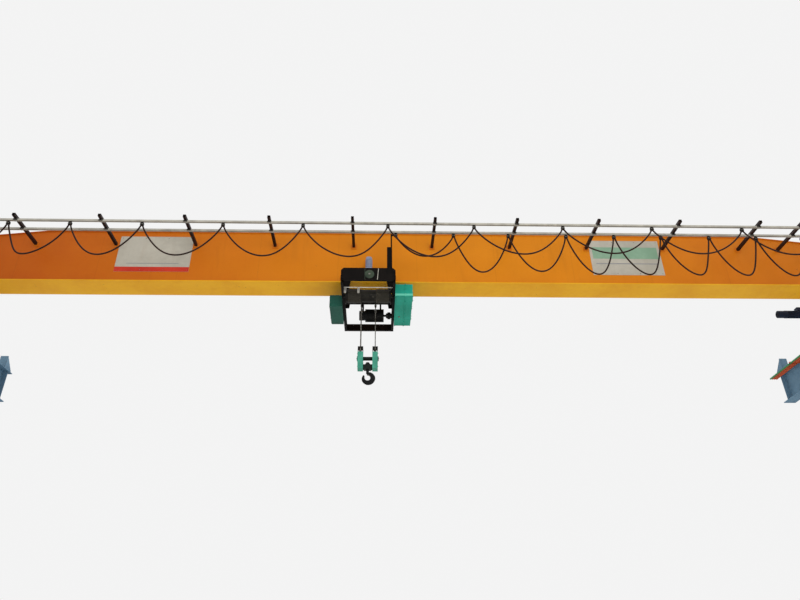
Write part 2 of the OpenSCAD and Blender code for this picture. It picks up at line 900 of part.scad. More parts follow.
// A front and a rear wheel on one axis line
module trolley_wheel_pair(x) {
  lip_w = 8;
  tread_y0 = tread_y - trolley_tread;
  axle_end = bracket_y + bracket_thick + boss_thick + 14;
  color("#5b5e60") on_trolley() both_y() translate([x, 0, trolley_wheel_z]) difference() {
    union() {
      rod_y(trolley_wheel_d, tread_y0, tread_y);
      rod_y(trolley_wheel_d + 24, tread_y, tread_y + lip_w);
      rod_y(trolley_axle_d, tread_y, axle_end);
    }
    difference() {
      rod_y(trolley_wheel_d - 40, tread_y0 - 1, tread_y0 + 14);
      rod_y(trolley_axle_d + 24, tread_y0 - 2, tread_y0 + 15);
    }
  }
}

module trolley_wheels_left() {
  trolley_wheel_pair(-trolley_wheel_x);
}

module trolley_wheels_right() {
  trolley_wheel_pair(trolley_wheel_x);
}

// Gear case over both front axles, a bevel head and an upright motor
module trolley_drive() {
  face = -(bracket_y + bracket_thick + boss_thick);
  depth = 44;
  pocket = 20;
  case_r = 62;
  head_y = face - depth - 50;
  head_z = trolley_wheel_z + 100;
  color("#5f7486") on_trolley() {
    difference() {
      plate_y(face - depth, face) translate([0, trolley_wheel_z]) {
        for (s = [-1, 1]) translate([s * trolley_wheel_x, 0]) circle(case_r);
        square([2 * trolley_wheel_x, 2 * case_r - 20], center = true);
      }
      for (s = [-1, 1]) translate([s * trolley_wheel_x, 0, trolley_wheel_z]) {
        rod_y(trolley_axle_d + 6, face - pocket, face + 1);
      }
    }
    block([-58, head_y - 50, trolley_wheel_z - 50], [58, face - depth, head_z]);
    translate([0, head_y, head_z]) {
      cylinder(d = 110, h = 14);
      translate([0, 0, 14]) rotate([0, -90, 0]) ribbed_motor(126, 208, 20, 112);
    }
  }
}

// Hoist

// Bearing caps show on the gearbox where its shafts run
module hoist_gearbox() {
  y0 = -650;
  z0 = frame_z0 - 113;
  a = [y0, z0];
  b = a + [gearbox_length, gearbox_height];
  rim = [8, 8];
  color("#23967c") on_trolley() {
    plate_x(frame_x, frame_x + 15) round_rect(a - rim, b + rim, 40);
    plate_x(frame_x + 15, frame_x + gearbox_width) round_rect(a, b, 34);
    plate_x(frame_x + 165, frame_x + 185) round_rect(a - rim, b + rim, 40);
    for (p = [[drum_y, 190], [-60, 120], [300, 150]]) {
      translate([0, p.x, drum_z - 5]) rod_x(p.y, frame_x + gearbox_width,
                                           frame_x + gearbox_width + 10);
    }
  }
}

module electrical_panel() {
  a = [-215, frame_z0 - 80];
  b = a + [panel_length, panel_height];
  door = 6;
  hinge_d = 14;
  color("#14604f") on_trolley() mirror([1, 0, 0]) {
    plate_x(frame_x, frame_x + panel_width) round_rect(a, b, 12);
    plate_x(frame_x + panel_width, frame_x + panel_width + door) {
      round_rect(a + [12, 12], b - [12, 12], 10);
    }
    for (y = [a.x + 90, b.x - 90]) translate([frame_x + panel_width + door, y, b.y - 20]) {
      rod_y(hinge_d, -30, 30);
    }
  }
}

module hoist_motor() {
  end_x = 275;
  hanger_y = raise_y - motor_y;
  color("#1b1b1a") on_trolley() translate([0, motor_y, 0]) {
    translate([end_x, 0, motor_axis_z]) {
      mirror([1, 0, 0]) ribbed_motor(hoist_motor_d, hoist_motor_length, 28, 180);
      rod_x(motor_shaft_d, 0, inner_x - end_x);
      rod_x(90, 40, 70);
      rod_x(130, 70, 125);
      rod_x(90, 125, 142);
    }
    for (x = [-120, 200]) {
      block([x, hanger_y, motor_axis_z + 0.3 * hoist_motor_d], [x + 30, hanger_y + 60, motor_beam_z]);
    }
  }
}

// The beam lies behind the rear wheel brackets, open above
module motor_beam() {
  y = raise_y;
  z = motor_beam_z;
  color("#151515") on_trolley() difference() {
    block([-inner_x, y, z], [inner_x, y + 60, z + 40]);
    block([-inner_x - 1, y + 10, z + 10], [inner_x + 1, y + 50, z + 41]);
  }
}

module rope_anchor_beam() {
  color("#151515") on_trolley() {
    block([-inner_x, dead_y - 30, anchor_z + 80], [inner_x, dead_y + 30, anchor_z + 130]);
    for (x = [-fall_x, fall_x]) translate([x, dead_y, anchor_z]) {
      cylinder(d1 = 26, d2 = 44, h = 40);
      translate([0, 0, 40]) cylinder(d = 30, h = 40);
    }
  }
}

// Bright rod in front of the drum, with two keepers hanging from it
module rope_guide_bar() {
  y = -600;
  z = frame_z0 + 74;
  color("#b9bcbd") on_trolley() {
    translate([0, y, z]) rod_x(16, -inner_x, inner_x);
    for (x = [-400, -170]) translate([x, 0, z]) plate_y(y - 6, y + 6) {
      round_rect([-20, -110], [20, 6], 12);
    }
  }
}

// Drum with the rope's turns wound on each half, shown as closed rings
module rope_drum() {
  half = drum_length / 2;
  flange = 14;
  first = fall_x + turn_pitch;
  color("#2b2a27") on_trolley() translate([0, drum_y, drum_z]) {
    rod_x(drum_shaft_d, -frame_x + 1, frame_x - 1);
    rotate([0, 90, 0]) rotate_extrude() {
      translate([0, -half]) square([drum_d / 2, drum_length]);
      for (s = [-1, 1], i = [0 : rope_turns - 1]) {
        translate([drum_d / 2 + rope_d / 2 - 1, s * (first + i * turn_pitch)]) {
          circle(d = rope_d, $fn = 24);
        }
      }
    }
    both_x() rod_x(drum_flange_d, half, half + flange);
  }
}

// Four falls, and the turn of rope under each sheave
module hoist_ropes() {
  color("#4a4844") on_trolley() for (x = [-fall_x, fall_x]) {
    translate([x, fall_y, -block_drop]) cylinder(d = rope_d, h = block_drop + drum_z, $fn = 24);
    translate([x, dead_y, -block_drop]) cylinder(d = rope_d, h = block_drop + anchor_z, $fn = 24);
    translate([x, block_y, -block_drop]) rotate([90, 0, 90]) rotate([0, 0, 180]) {
      rotate_extrude(angle = 180) translate([sheave_d / 2, 0]) circle(d = rope_d, $fn = 24);
    }
  }
}

// Hook block

module cover_outline(r, foot, low) {
  circle(r);
  polygon([[-r, 0], [r, 0], [foot, low], [-foot, low]]);
}

// A cover closes each sheave below and at the sides, and is open above
module block_covers() {
  x0 = fall_x - cover_width / 2;
  x1 = fall_x + cover_width / 2;
  low = crosshead_z - 40;
  color("#2f9c7f") on_block() both_x() difference() {
    plate_x(x0, x1) difference() {
      cover_outline(cover_r, 70, low);
      translate([-cover_r, cover_cut]) square([2 * cover_r, cover_r]);
    }
    plate_x(x0 + cover_wall, x1 - cover_wall) {
      cover_outline(cover_r - cover_wall, 62, low + cover_wall);
    }
    rod_x(axle_d + fit, x0 - 1, x1 + 1);
    translate([0, 0, crosshead_z]) rod_x(axle_d + fit, x0 - 1, x0 + cover_wall + 1);
  }
}

// A cap over each sheave, open to the front and the back
module block_guards() {
  x0 = fall_x - cover_width / 2;
  x1 = fall_x + cover_width / 2;
  color("#1f2220") on_block() both_x() difference() {
    plate_x(x0, x1) {
      polygon([[-100, cover_cut], [100, cover_cut], [75, guard_top], [-75, guard_top]]);
    }
    block([x0 + cover_wall, -110, cover_cut - 1], [x1 - cover_wall, 110, guard_top - cover_wall]);
  }
}

module block_axle() {
  end = fall_x + cover_width / 2;
  inner = fall_x - cover_width / 2;
  color("#232725") on_block() {
    rod_x(axle_d, -end - 14, end + 14);
    rod_x(axle_d + 16, -inner, inner);
    both_x() rod_x(axle_d + 34, end, end + 12);
  }
}

// Grooved sheaves with six round holes in the web
module block_sheaves() {
  bore = (axle_d + fit) / 2;
  hub = cover_width / 2 - cover_wall - 2;
  root = sheave_d / 2 - rope_d / 2 - 0.5;
  hub_r = axle_d / 2 + 16;
  color("#5b5e60") on_block() for (x = [-fall_x, fall_x]) translate([x, 0, 0]) difference() {
    rotate([0, 90, 0]) rotate_extrude() {
      polygon([[bore, -hub], [hub_r, -hub], [hub_r, -9], [root - 16, -9], [root - 8, -21],
               [sheave_rim, -21], [sheave_rim, -17], [root, -4], [root, 4], [sheave_rim, 17],
               [sheave_rim, 21], [root - 8, 21], [root - 16, 9], [hub_r, 9], [hub_r, hub],
               [bore, hub]]);
    }
    for (i = [0 : 5]) rotate([i * 60, 0, 0]) translate([0, 0, 78]) rod_x(38, -12, 12);
  }
}

module block_crosshead() {
  x = fall_x - cover_width / 2;
  half = crosshead_height / 2;
  boss = 12;
  color("#232725") on_block() translate([0, 0, crosshead_z]) difference() {
    union() {
      plate_y(-crosshead_width / 2, crosshead_width / 2) {
        polygon([[-x, -half + 20], [-x + 25, -half], [x - 25, -half], [x, -half + 20],
                 [x, half], [-x, half]]);
      }
      rod_x(axle_d, -x - cover_wall, x + cover_wall);
      translate([0, 0, half]) cylinder(d = shank_d + 46, h = boss);
    }
    translate([0, 0, -half - 1]) cylinder(d = shank_d + fit, h = crosshead_height + boss + 2);
  }
}

// Section of the hook at t degrees from the shank: depth, width, inside radius
function hook_depth_at(t) = hook_depth * lookup(t,
  [[0, 0.64], [40, 0.8], [100, 1], [160, 1.02], [190, 0.95], [235, 0.77], [280, 0.56], [315, 0.34]]);
function hook_width_at(t) = hook_depth * lookup(t,
  [[0, 0.6], [40, 0.66], [100, 0.74], [190, 0.68], [280, 0.48], [315, 0.3]]);
function hook_inside_at(t) = hook_bowl / 2 * lookup(t, [[0, 1], [275, 1], [315, 1.26]]);

function hook_ring(t, k) =
  let (h = hook_depth_at(t), w = hook_width_at(t), r = hook_inside_at(t) + h / 2, a = 100 - t)
  [for (j = [0 : k - 1]) let (f = j * 360 / k, d = r + h / 2 * cos(f))
    [d * cos(a), w / 2 * sin(f) * (1 - 0.16 * cos(f)), bowl_z + d * sin(a)]];

module lifting_hook() {
  nut_z = crosshead_z + crosshead_height / 2 + 12 + run_gap;
  shank_z = bowl_z + hook_bowl / 2 + 30;
  k = 16;
  color("#171819") on_block() {
    translate([0, 0, shank_z]) cylinder(d = shank_d, h = nut_z - shank_z + 10);
    translate([0, 0, nut_z]) cylinder(d1 = shank_d + 42, d2 = shank_d + 10, h = 36);
    tube([for (t = [0 : 7.5 : 315]) hook_ring(t, k)], k);
  }
}

runway_beam_left();
runway_beam_right();
runway_rails();
runway_end_stops();
conductor_bars();
earth_bar();
girder_bottom_flange();
girder_top_flange();
girder_front_web();
girder_rear_web();
girder_end_plates();
end_carriage_left();
end_carriage_right();
bridge_drives();
carriage_buffers();
bridge_wheels_near();
bridge_wheels_far();
current_collector();
trolley_stops();
sign_boards();
festoon_arms();
festoon_inner_track();
festoon_outer_track();
festoon_clamps();
outer_cable();
inner_cable();
moving_carrier(1);  // cable_carrier_1
moving_carrier(2);  // cable_carrier_2
moving_carrier(3);  // cable_carrier_3
moving_carrier(4);  // cable_carrier_4
moving_carrier(5);  // cable_carrier_5
moving_carrier(6);  // cable_carrier_6
moving_carrier(7);  // cable_carrier_7
moving_carrier(8);  // cable_carrier_8
tow_arm();
trolley_frame();
wheel_brackets();
trolley_wheels_left();
trolley_wheels_right();
trolley_drive();
hoist_gearbox();
electrical_panel();
hoist_motor();
motor_beam();
rope_anchor_beam();
rope_guide_bar();
rope_drum();
hoist_ropes();
block_covers();
block_guards();
block_axle();
block_sheaves();
block_crosshead();
lifting_hook();
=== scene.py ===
"""Dresses an overhead bridge crane: paint, steel, ropes, festoon cables and small fittings.

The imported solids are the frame. Lengths are in metres. Sizes in the classes are given in
crane coordinates: x from mid-span, y from the girder's middle plane, z from the rail's top.
"""

import logging
import math
from dataclasses import dataclass
from enum import Enum
from typing import Callable, Iterable, Optional, Sequence

import bmesh
import bpy
from mathutils import Matrix, Vector


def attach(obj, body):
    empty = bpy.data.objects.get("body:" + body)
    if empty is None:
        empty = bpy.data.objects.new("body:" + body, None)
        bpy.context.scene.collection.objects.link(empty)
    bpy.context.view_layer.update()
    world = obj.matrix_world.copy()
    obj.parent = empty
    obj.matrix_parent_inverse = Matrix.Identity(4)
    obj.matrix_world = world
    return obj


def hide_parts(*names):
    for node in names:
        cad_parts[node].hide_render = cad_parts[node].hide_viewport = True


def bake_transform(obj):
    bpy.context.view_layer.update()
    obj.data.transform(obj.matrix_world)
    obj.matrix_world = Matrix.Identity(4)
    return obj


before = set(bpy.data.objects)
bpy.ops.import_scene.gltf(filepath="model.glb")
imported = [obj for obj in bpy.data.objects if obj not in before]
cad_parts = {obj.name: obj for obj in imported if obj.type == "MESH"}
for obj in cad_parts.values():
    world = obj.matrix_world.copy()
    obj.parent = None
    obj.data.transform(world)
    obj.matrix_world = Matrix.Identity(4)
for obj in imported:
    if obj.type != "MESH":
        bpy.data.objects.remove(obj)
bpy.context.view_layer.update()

logging.basicConfig(level=logging.INFO, format="%(name)s: %(message)s")
LOG = logging.getLogger("crane")

CRANE = Vector((8.5, 0.0, 0.71))
RAIL_X = 8.5
WHEEL_Y = 1.2
WHEEL_Z = 0.1253
WEB_FACE = -0.177
TROLLEY_X = -0.68
BLOCK_Y = -0.1447
AXLE_Z = -1.17
HOIST_MOTOR = (0.3, -0.085)
FLOOR_Z = -6.97

UP, DOWN = Vector((0, 0, 1)), Vector((0, 0, -1))
FRONT, BACK = Vector((0, -1, 0)), Vector((0, 1, 0))
RIGHT, LEFT = Vector((1, 0, 0)), Vector((-1, 0, 0))

Colour = tuple[float, float, float]
Spot = tuple[Vector, Vector]
Socket = bpy.types.NodeSocket
Inputs = Sequence[tuple[str, str, object]]


def place(x: float, y: float, z: float) -> Vector:
    """Turns crane coordinates into a point of the part's frame."""
    return CRANE + Vector((x, y, z))


def on_trolley(x: float, y: float, z: float) -> Vector:
    """Turns a point given from the trolley's middle into a point of the part's frame."""
    return place(TROLLEY_X + x, y, z)


def linear(colour: Colour) -> tuple[float, float, float, float]:
    """Turns an sRGB colour from 0 to 255 into Blender's linear colour.

    Args:
        colour: Red, green and blue as a paint chart gives them.

    Returns:
        Linear red, green, blue and an alpha of 1.
    """
    out = []
    for c in colour:
        v = c / 255.0
        out.append(v / 12.92 if v <= 0.04045 else ((v + 0.055) / 1.055) ** 2.4)
    return (out[0], out[1], out[2], 1.0)


class Tree:
    """A thin helper round a node tree that adds and links nodes."""

    def __init__(self, tree: bpy.types.NodeTree) -> None:
        """Keeps the tree and starts its layout at the left."""
        self.tree = tree
        self.count = 0

    def add(self, kind: str, props: Optional[dict] = None, **inputs: object) -> bpy.types.Node:
        """Adds a node, sets its properties, then sets or links its inputs.

        Args:
            kind: The node's Blender type.
            props: Properties of the node itself.
            inputs: Input values or output sockets, by socket name with spaces as underscores.

        Returns:
            The new node.
        """
        node = self.tree.nodes.new(kind)
        node.location = (self.count * 190, -(self.count % 5) * 120)
        self.count += 1
        for key, value in (props or {}).items():
            setattr(node, key, value)
        for key, value in inputs.items():
            number = key[:2] == "n_"
            self.put(node.inputs[int(key[2:]) if number else key.replace("_", " ")], value)
        return node

    def put(self, socket: Socket, value: object) -> None:
        """Links an output socket to an input, or sets the input's value.

        Args:
            socket: The input.
            value: An output socket, or a plain value.
        """
        if isinstance(value, Socket):
            self.tree.links.new(value, socket)
        else:
            socket.default_value = value

    def maths(self, operation: str, a: object, b: object = 0.0, clamp: bool = False) -> Socket:
        """Adds one Math node and returns its output."""
        props = {"operation": operation, "use_clamp": clamp}
        return self.add("ShaderNodeMath", props, n_0=a, n_1=b).outputs[0]

    def mix(self, amount: object, a: object, b: object) -> Socket:
        """Mixes two colours and returns the colour output."""
        return self.add("ShaderNodeMix", {"data_type": "RGBA"}, n_0=amount, n_6=a, n_7=b).outputs[2]

    def ramp(self, value: object, low: float, high: float) -> Socket:
        """Maps low to high smoothly onto 0 to 1."""
        return self.add("ShaderNodeMapRange", {"interpolation_type": "SMOOTHSTEP"},
                        Value=value, From_Min=low, From_Max=high).outputs[0]

    def noise(self, at: Socket, scale: object, detail: float = 4.0, rough: float = 0.55) -> Socket:
        """Adds a noise texture and returns its value."""
        return self.add("ShaderNodeTexNoise", Vector=at, Scale=scale, Detail=detail,
                        Roughness=rough).outputs[0]

    def split(self, vector: object) -> Sequence[Socket]:
        """Splits a vector into its three parts."""
        return self.add("ShaderNodeSeparateXYZ", Vector=vector).outputs

    def call(self, group: bpy.types.NodeTree, **inputs: object) -> Socket:
        """Uses a shader effect and returns what it puts out."""
        return self.add("ShaderNodeGroup", {"node_tree": group}, **inputs).outputs[0]


class Effects:
    """Shared shader effects, each a node group that is built once."""

    made: dict[str, bpy.types.NodeTree] = {}
    at: tuple[str, str, object] = ("Vector", "Vector", None)
    mask: tuple[str, str] = ("Mask", "Float")
    height: tuple[str, str] = ("Height", "Float")

    @classmethod
    def group(cls, name: str, inputs: Inputs, output: tuple[str, str],
              build: Callable[[Tree, Sequence[Socket]], Socket]) -> bpy.types.NodeTree:
        """Builds a node group with named sockets, or returns the one that is there.

        Args:
            name: The effect's name.
            inputs: Name, type and first value of each input.
            output: Name and type of the one output.
            build: Fills the group and returns the socket to put out.

        Returns:
            The finished group.
        """
        if name not in cls.made:
            tree = bpy.data.node_groups.new(name, "ShaderNodeTree")
            for label, kind, value in inputs:
                socket = tree.interface.new_socket(label, in_out="INPUT",
                                                   socket_type="NodeSocket" + kind)
                if value is not None:
                    socket.default_value = value
            tree.interface.new_socket(output[0], in_out="OUTPUT",
                                      socket_type="NodeSocket" + output[1])
            helper = Tree(tree)
            start = helper.add("NodeGroupInput")
            helper.add("NodeGroupOutput", None, n_0=build(helper, start.outputs))
            cls.made[name] = tree
        return cls.made[name]

    @classmethod
    def shade(cls) -> bpy.types.NodeTree:
        """Slow change of shade over a painted surface."""
        return cls.group("shade change", [cls.at, ("Scale", "Float", 1.0), ("Dark", "Color", None),
                                          ("Light", "Color", None)], ("Colour", "Color"), cls.fill_shade)

    @staticmethod
    def fill_shade(t: Tree, start: Sequence[Socket]) -> Socket:
        """Mixes the two shades by a broad noise and a fine one.

        Args:
            t: The group's tree.
            start: The group's inputs.

        Returns:
            The mixed colour.
        """
        broad = t.noise(start["Vector"], start["Scale"], 5.0)
        fine = t.noise(start["Vector"], t.maths("MULTIPLY", start["Scale"], 9.0), 3.0, 0.6)
        mixed = t.maths("ADD", t.maths("MULTIPLY", broad, 0.72), t.maths("MULTIPLY", fine, 0.28))
        return t.mix(t.ramp(mixed, 0.36, 0.64), start["Dark"], start["Light"])

    @classmethod
    def runs(cls) -> bpy.types.NodeTree:
        """Dirt that water has drawn down a surface."""
        return cls.group("dirt runs", [cls.at, ("Scale", "Float", 9.0), ("Amount", "Float", 0.3)],
                         cls.mask, cls.fill_runs)

    @staticmethod
    def fill_runs(t: Tree, start: Sequence[Socket]) -> Socket:
        """Stretches a noise downwards and keeps it in patches.

        Args:
            t: The group's tree.
            start: The group's inputs.

        Returns:
            How much dirt there is.
        """
        stretched = t.add("ShaderNodeMapping", Vector=start["Vector"], Scale=(1.0, 1.0, 0.09))
        streak = t.noise(stretched.outputs[0], start["Scale"], 4.0, 0.62)
        patch = t.noise(start["Vector"], 0.9, 2.0)
        mask = t.maths("MULTIPLY", t.ramp(streak, 0.5, 0.74), t.ramp(patch, 0.35, 0.65))
        return t.maths("MULTIPLY", mask, start["Amount"], True)

    @classmethod
    def specks(cls) -> bpy.types.NodeTree:
        """Small chips and scuffs, thicker in some places than in others."""
        inputs = [cls.at, ("Scale", "Float", 40.0), ("Amount", "Float", 0.2)]
        return cls.group("chips and scuffs", inputs, cls.mask, cls.fill_specks)

    @staticmethod
    def fill_specks(t: Tree, start: Sequence[Socket]) -> Socket:
        """Cuts a fine noise off at a level that a broad one moves.

        Args:
            t: The group's tree.
            start: The group's inputs.

        Returns:
            Where the paint is gone.
        """
        fine = t.noise(start["Vector"], start["Scale"], 6.0, 0.7)
        broad = t.noise(start["Vector"], t.maths("MULTIPLY", start["Scale"], 0.14), 2.0)
        both = t.maths("MULTIPLY", fine, t.maths("ADD", broad, 0.5))
        edge = t.maths("SUBTRACT", 0.78, t.maths("MULTIPLY", start["Amount"], 0.3))
        return t.add("ShaderNodeMapRange", Value=both, From_Min=edge,
                     From_Max=t.maths("ADD", edge, 0.05)).outputs[0]

    @classmethod
    def dust(cls) -> bpy.types.NodeTree:
        """Dust that lies on what faces up."""
        return cls.group("dust on top", [cls.at, ("Up", "Float", 0.0), ("Amount", "Float", 0.5)],
                         cls.mask, cls.fill_dust)

    @staticmethod
    def fill_dust(t: Tree, start: Sequence[Socket]) -> Socket:
        """Keeps patches of a noise where the surface faces up.

        Args:
            t: The group's tree.
            start: The group's inputs.

        Returns:
            How much dust there is.
        """
        patch = t.ramp(t.noise(start["Vector"], 6.0, 5.0, 0.6), 0.2, 0.6)
        level = t.maths("MULTIPLY", t.ramp(start["Up"], 0.25, 0.95), patch)
        return t.maths("MULTIPLY", level, start["Amount"], True)

    @classmethod
    def grain(cls) -> bpy.types.NodeTree:
        """Fine unevenness of a sprayed, rolled or cast surface."""
        return cls.group("fine grain", [cls.at, ("Scale", "Float", 180.0)], cls.height, cls.fill_grain)

    @staticmethod
    def fill_grain(t: Tree, start: Sequence[Socket]) -> Socket:
        """Adds a fine noise to a broad one.

        Args:
            t: The group's tree.
            start: The group's inputs.

        Returns:
            The height.
        """
        fine = t.noise(start["Vector"], start["Scale"], 3.0)
        broad = t.noise(start["Vector"], t.maths("MULTIPLY", start["Scale"], 0.05), 2.0)
        return t.maths("ADD", t.maths("MULTIPLY", fine, 0.4), broad)

    @classmethod
    def strands(cls) -> bpy.types.NodeTree:
        """Height of six strands that wind round a rope."""
        return cls.group("rope strands", [("Along", "Float", 0.0), ("Round", "Float", 0.0)], cls.height,
                         cls.fill_strands)

    @staticmethod
    def fill_strands(t: Tree, start: Sequence[Socket]) -> Socket:
        """Lets a sine run slantwise round the rope."""
        turn = t.maths("ADD", start["Along"], start["Round"])
        return t.maths("ABSOLUTE", t.maths("SINE", t.maths("MULTIPLY", turn, math.pi * 6.0)))


class Body(Enum):
    """What a finish lies on, with how metallic it is."""

    PAINT = 0.0
    METAL = 1.0


@dataclass(frozen=True)
class Look:
    """What a finish puts on before dirt: a colour, and for some a height and bare metal."""

    colour: Socket
    height: Optional[Socket] = None
    metal: Optional[Socket] = None


@dataclass(frozen=True)
class Finish:
    """A finish in maker's words, with colours from a 0 to 255 chart."""

    name: str
    light: Colour
    dark: Colour
    body: Body = Body.PAINT
    gloss: float = 0.5
    shine: float = 0.1
    patch: float = 1.4
    runs: float = 0.25
    run_colour: Colour = (58, 44, 34)
    dust: float = 0.45
    dust_colour: Colour = (150, 143, 130)
    chips: float = 0.2
    under: Colour = (70, 48, 38)
    grain: float = 180.0
    depth: float = 0.06
    run_scale: float = 9.0
    chip_scale: float = 38.0
    bare: Colour = (168, 165, 160)

    def look(self, t: Tree, at: Socket, up: Socket) -> Look:
        """Builds the look before dirt.

        Args:
            t: The material's tree.
            at: Where the point is in the part's frame.
            up: How much the surface faces up.

        Returns:
            A slow change between the finish's two shades.
        """
        return Look(t.call(Effects.shade(), Vector=at, Scale=self.patch, Dark=linear(self.dark),
                           Light=linear(self.light)))

    def material(self) -> bpy.types.Material:
        """Builds the material once and returns it.

        Returns:
            The Blender material of this finish.
        """
        found = bpy.data.materials.get(self.name)
        if found:
            return found
        mat = bpy.data.materials.new(self.name)
        mat.use_nodes = True
        mat.node_tree.nodes.clear()
        t = Tree(mat.node_tree)
        at = t.add("ShaderNodeTexCoord").outputs["Object"]
        up = t.split(t.add("ShaderNodeNewGeometry").outputs["Normal"])[2]
        look = self.look(t, at, up)
        run = t.call(Effects.runs(), Vector=at, Scale=self.run_scale, Amount=self.runs)
        dusty = t.call(Effects.dust(), Vector=at, Up=up, Amount=self.dust)
        dirt = t.maths("MAXIMUM", run, dusty)
        colour = look.colour
        if self.chips > 0:
            speck = t.call(Effects.specks(), Vector=at, Scale=self.chip_scale, Amount=self.chips)
            colour = t.mix(speck, colour, linear(self.under))
        rough = t.maths("ADD", t.maths("MULTIPLY", dirt, 0.3), 1.0 - self.gloss, True)
        metal: object = self.body.value
        if look.metal is not None:
            colour = t.mix(look.metal, colour, linear(self.bare))
            rough = t.maths("SUBTRACT", rough, t.maths("MULTIPLY", look.metal, 0.25))
            metal = t.maths("MAXIMUM", look.metal, self.body.value)
        if look.metal is not None or self.body is Body.METAL:
            metal = t.maths("MULTIPLY", metal, t.maths("SUBTRACT", 1.0, dirt))
        colour = t.mix(run, colour, linear(self.run_colour))
        colour = t.mix(dusty, colour, linear(self.dust_colour))
        grain = t.call(Effects.grain(), Vector=at, Scale=self.grain)
        normal = t.add("ShaderNodeBump", Strength=self.depth, Distance=0.002, Height=grain).outputs[0]
        if look.height is not None:
            normal = t.add("ShaderNodeBump", Strength=0.6, Distance=0.0015,
                           Height=look.height, Normal=normal).outputs[0]
        shader = t.add("ShaderNodeBsdfPrincipled", Base_Color=colour, Roughness=rough, Metallic=metal,
                       Specular_IOR_Level=self.shine, Normal=normal)
        t.add("ShaderNodeOutputMaterial", None, n_0=shader.outputs[0])
        return mat


@dataclass(frozen=True)
class GirderPaint(Finish):
    """Orange paint with painted light and shade that change slowly along the span, over plates joined
    side by side.
    """

    # Painted light: these colours make the span darker towards both ends and brightest between, as light
    # falls along it.
    left_end_painted_shade: Colour = (186, 84, 16)
    middle: Colour = (218, 136, 22)
    right_end_painted_shade: Colour = (204, 116, 22)
    painted_light_rise: tuple[float, float] = (0.5, 9.5)
    painted_light_fall: tuple[float, float] = (11.0, 15.0)
    plate_pitch: float = 1.45
    joint: float = 0.012

    def look(self, t: Tree, at: Socket, up: Socket) -> Look:
        """Adds painted light and shade along the span, and the plates' joints.

        Args:
            t: The material's tree.
            at: Where the point is.
            up: How much the surface faces up.

        Returns:
            The colour and the joints' height.
        """
        x = t.split(at)[0]
        # Painted light and shade along the span, laid three quarters over the paint's own change of
        # shade.
        along = t.mix(t.ramp(x, *self.painted_light_rise), linear(self.left_end_painted_shade), linear(self.middle))
        along = t.mix(t.ramp(x, *self.painted_light_fall), along, linear(self.right_end_painted_shade))
        colour = t.mix(0.75, super().look(t, at, up).colour, along)
        beat = t.maths("PINGPONG", x, self.plate_pitch / 2)
        line = t.maths("SUBTRACT", 1.0, t.ramp(beat, 0.0, self.joint))
        colour = t.mix(t.maths("MULTIPLY", line, 0.1), colour, linear(self.run_colour))
        height = t.maths("ADD", t.maths("MULTIPLY", line, 0.25), t.noise(at, 2.6, 1.0))
        return Look(colour, height)


@dataclass(frozen=True)
class ArmPaint(Finish):
    """Dark arms whose foot plates are painted with the girder."""

    foot: Colour = (206, 110, 18)
    foot_y: tuple[float, float] = (-0.184, -0.182)

    def look(self, t: Tree, at: Socket, up: Socket) -> Look:
        """Puts the girder's colour on the foot plates.

        Args:
            t: The material's tree.
            at: Where the point is.
            up: How much the surface faces up.

        Returns:
            The colour.
        """
        near = t.ramp(t.split(at)[1], *self.foot_y)
        return Look(t.mix(near, super().look(t, at, up).colour, linear(self.foot)))


@dataclass(frozen=True)
class GearPaint(Finish):
    """Teal gearbox paint with a painted highlight: a paler band low on the front, where its lower edge
    catches the light.
    """

    # Painted highlight: this paler teal stands in for light on the gearbox's lower front edge.
    band: Colour = (120, 212, 184)
    highlight_front_y: tuple[float, float] = (-0.640, -0.630)
    low_z: tuple[float, float] = (-0.180, -0.168)
    cover: float = 0.6

    def look(self, t: Tree, at: Socket, up: Socket) -> Look:
        """Puts the painted highlight, a paler band, along the front's lower edge.

        Args:
            t: The material's tree.
            at: Where the point is.
            up: How much the surface faces up.

        Returns:
            The colour.
        """
        _, y, z = t.split(at)
        # Mask of the painted highlight: the front face below the lower seam.
        front = t.maths("SUBTRACT", 1.0, t.ramp(y, *self.highlight_front_y))
        low = t.maths("SUBTRACT", 1.0, t.ramp(z, *(CRANE.z + edge for edge in self.low_z)))
        amount = t.maths("MULTIPLY", t.maths("MULTIPLY", front, low), self.cover)
        return Look(t.mix(amount, super().look(t, at, up).colour, linear(self.band)))


@dataclass(frozen=True)
class RailSteel(Finish):
    """Rusty bar with a band on top that the wheels keep bright."""

    edge: tuple[float, float] = (0.023, 0.027)
    ragged: float = 0.006

    def look(self, t: Tree, at: Socket, up: Socket) -> Look:
        """Adds the running band on the top face of each rail.

        Args:
            t: The material's tree.
            at: Where the point is.
            up: How much the surface faces up.

        Returns:
            The rust and where the steel is bright.
        """
        off = t.maths("ABSOLUTE", t.maths("SUBTRACT", t.split(at)[0], CRANE.x))
        off = t.maths("ABSOLUTE", t.maths("SUBTRACT", off, RAIL_X))
        uneven = t.maths("ADD", off, t.maths("MULTIPLY", t.noise(at, 14.0), self.ragged))
        band = t.maths("SUBTRACT", 1.0, t.ramp(uneven, *self.edge))
        bright = t.maths("MULTIPLY", band, t.ramp(up, 0.8, 0.9))
        return Look(super().look(t, at, up).colour, None, bright)


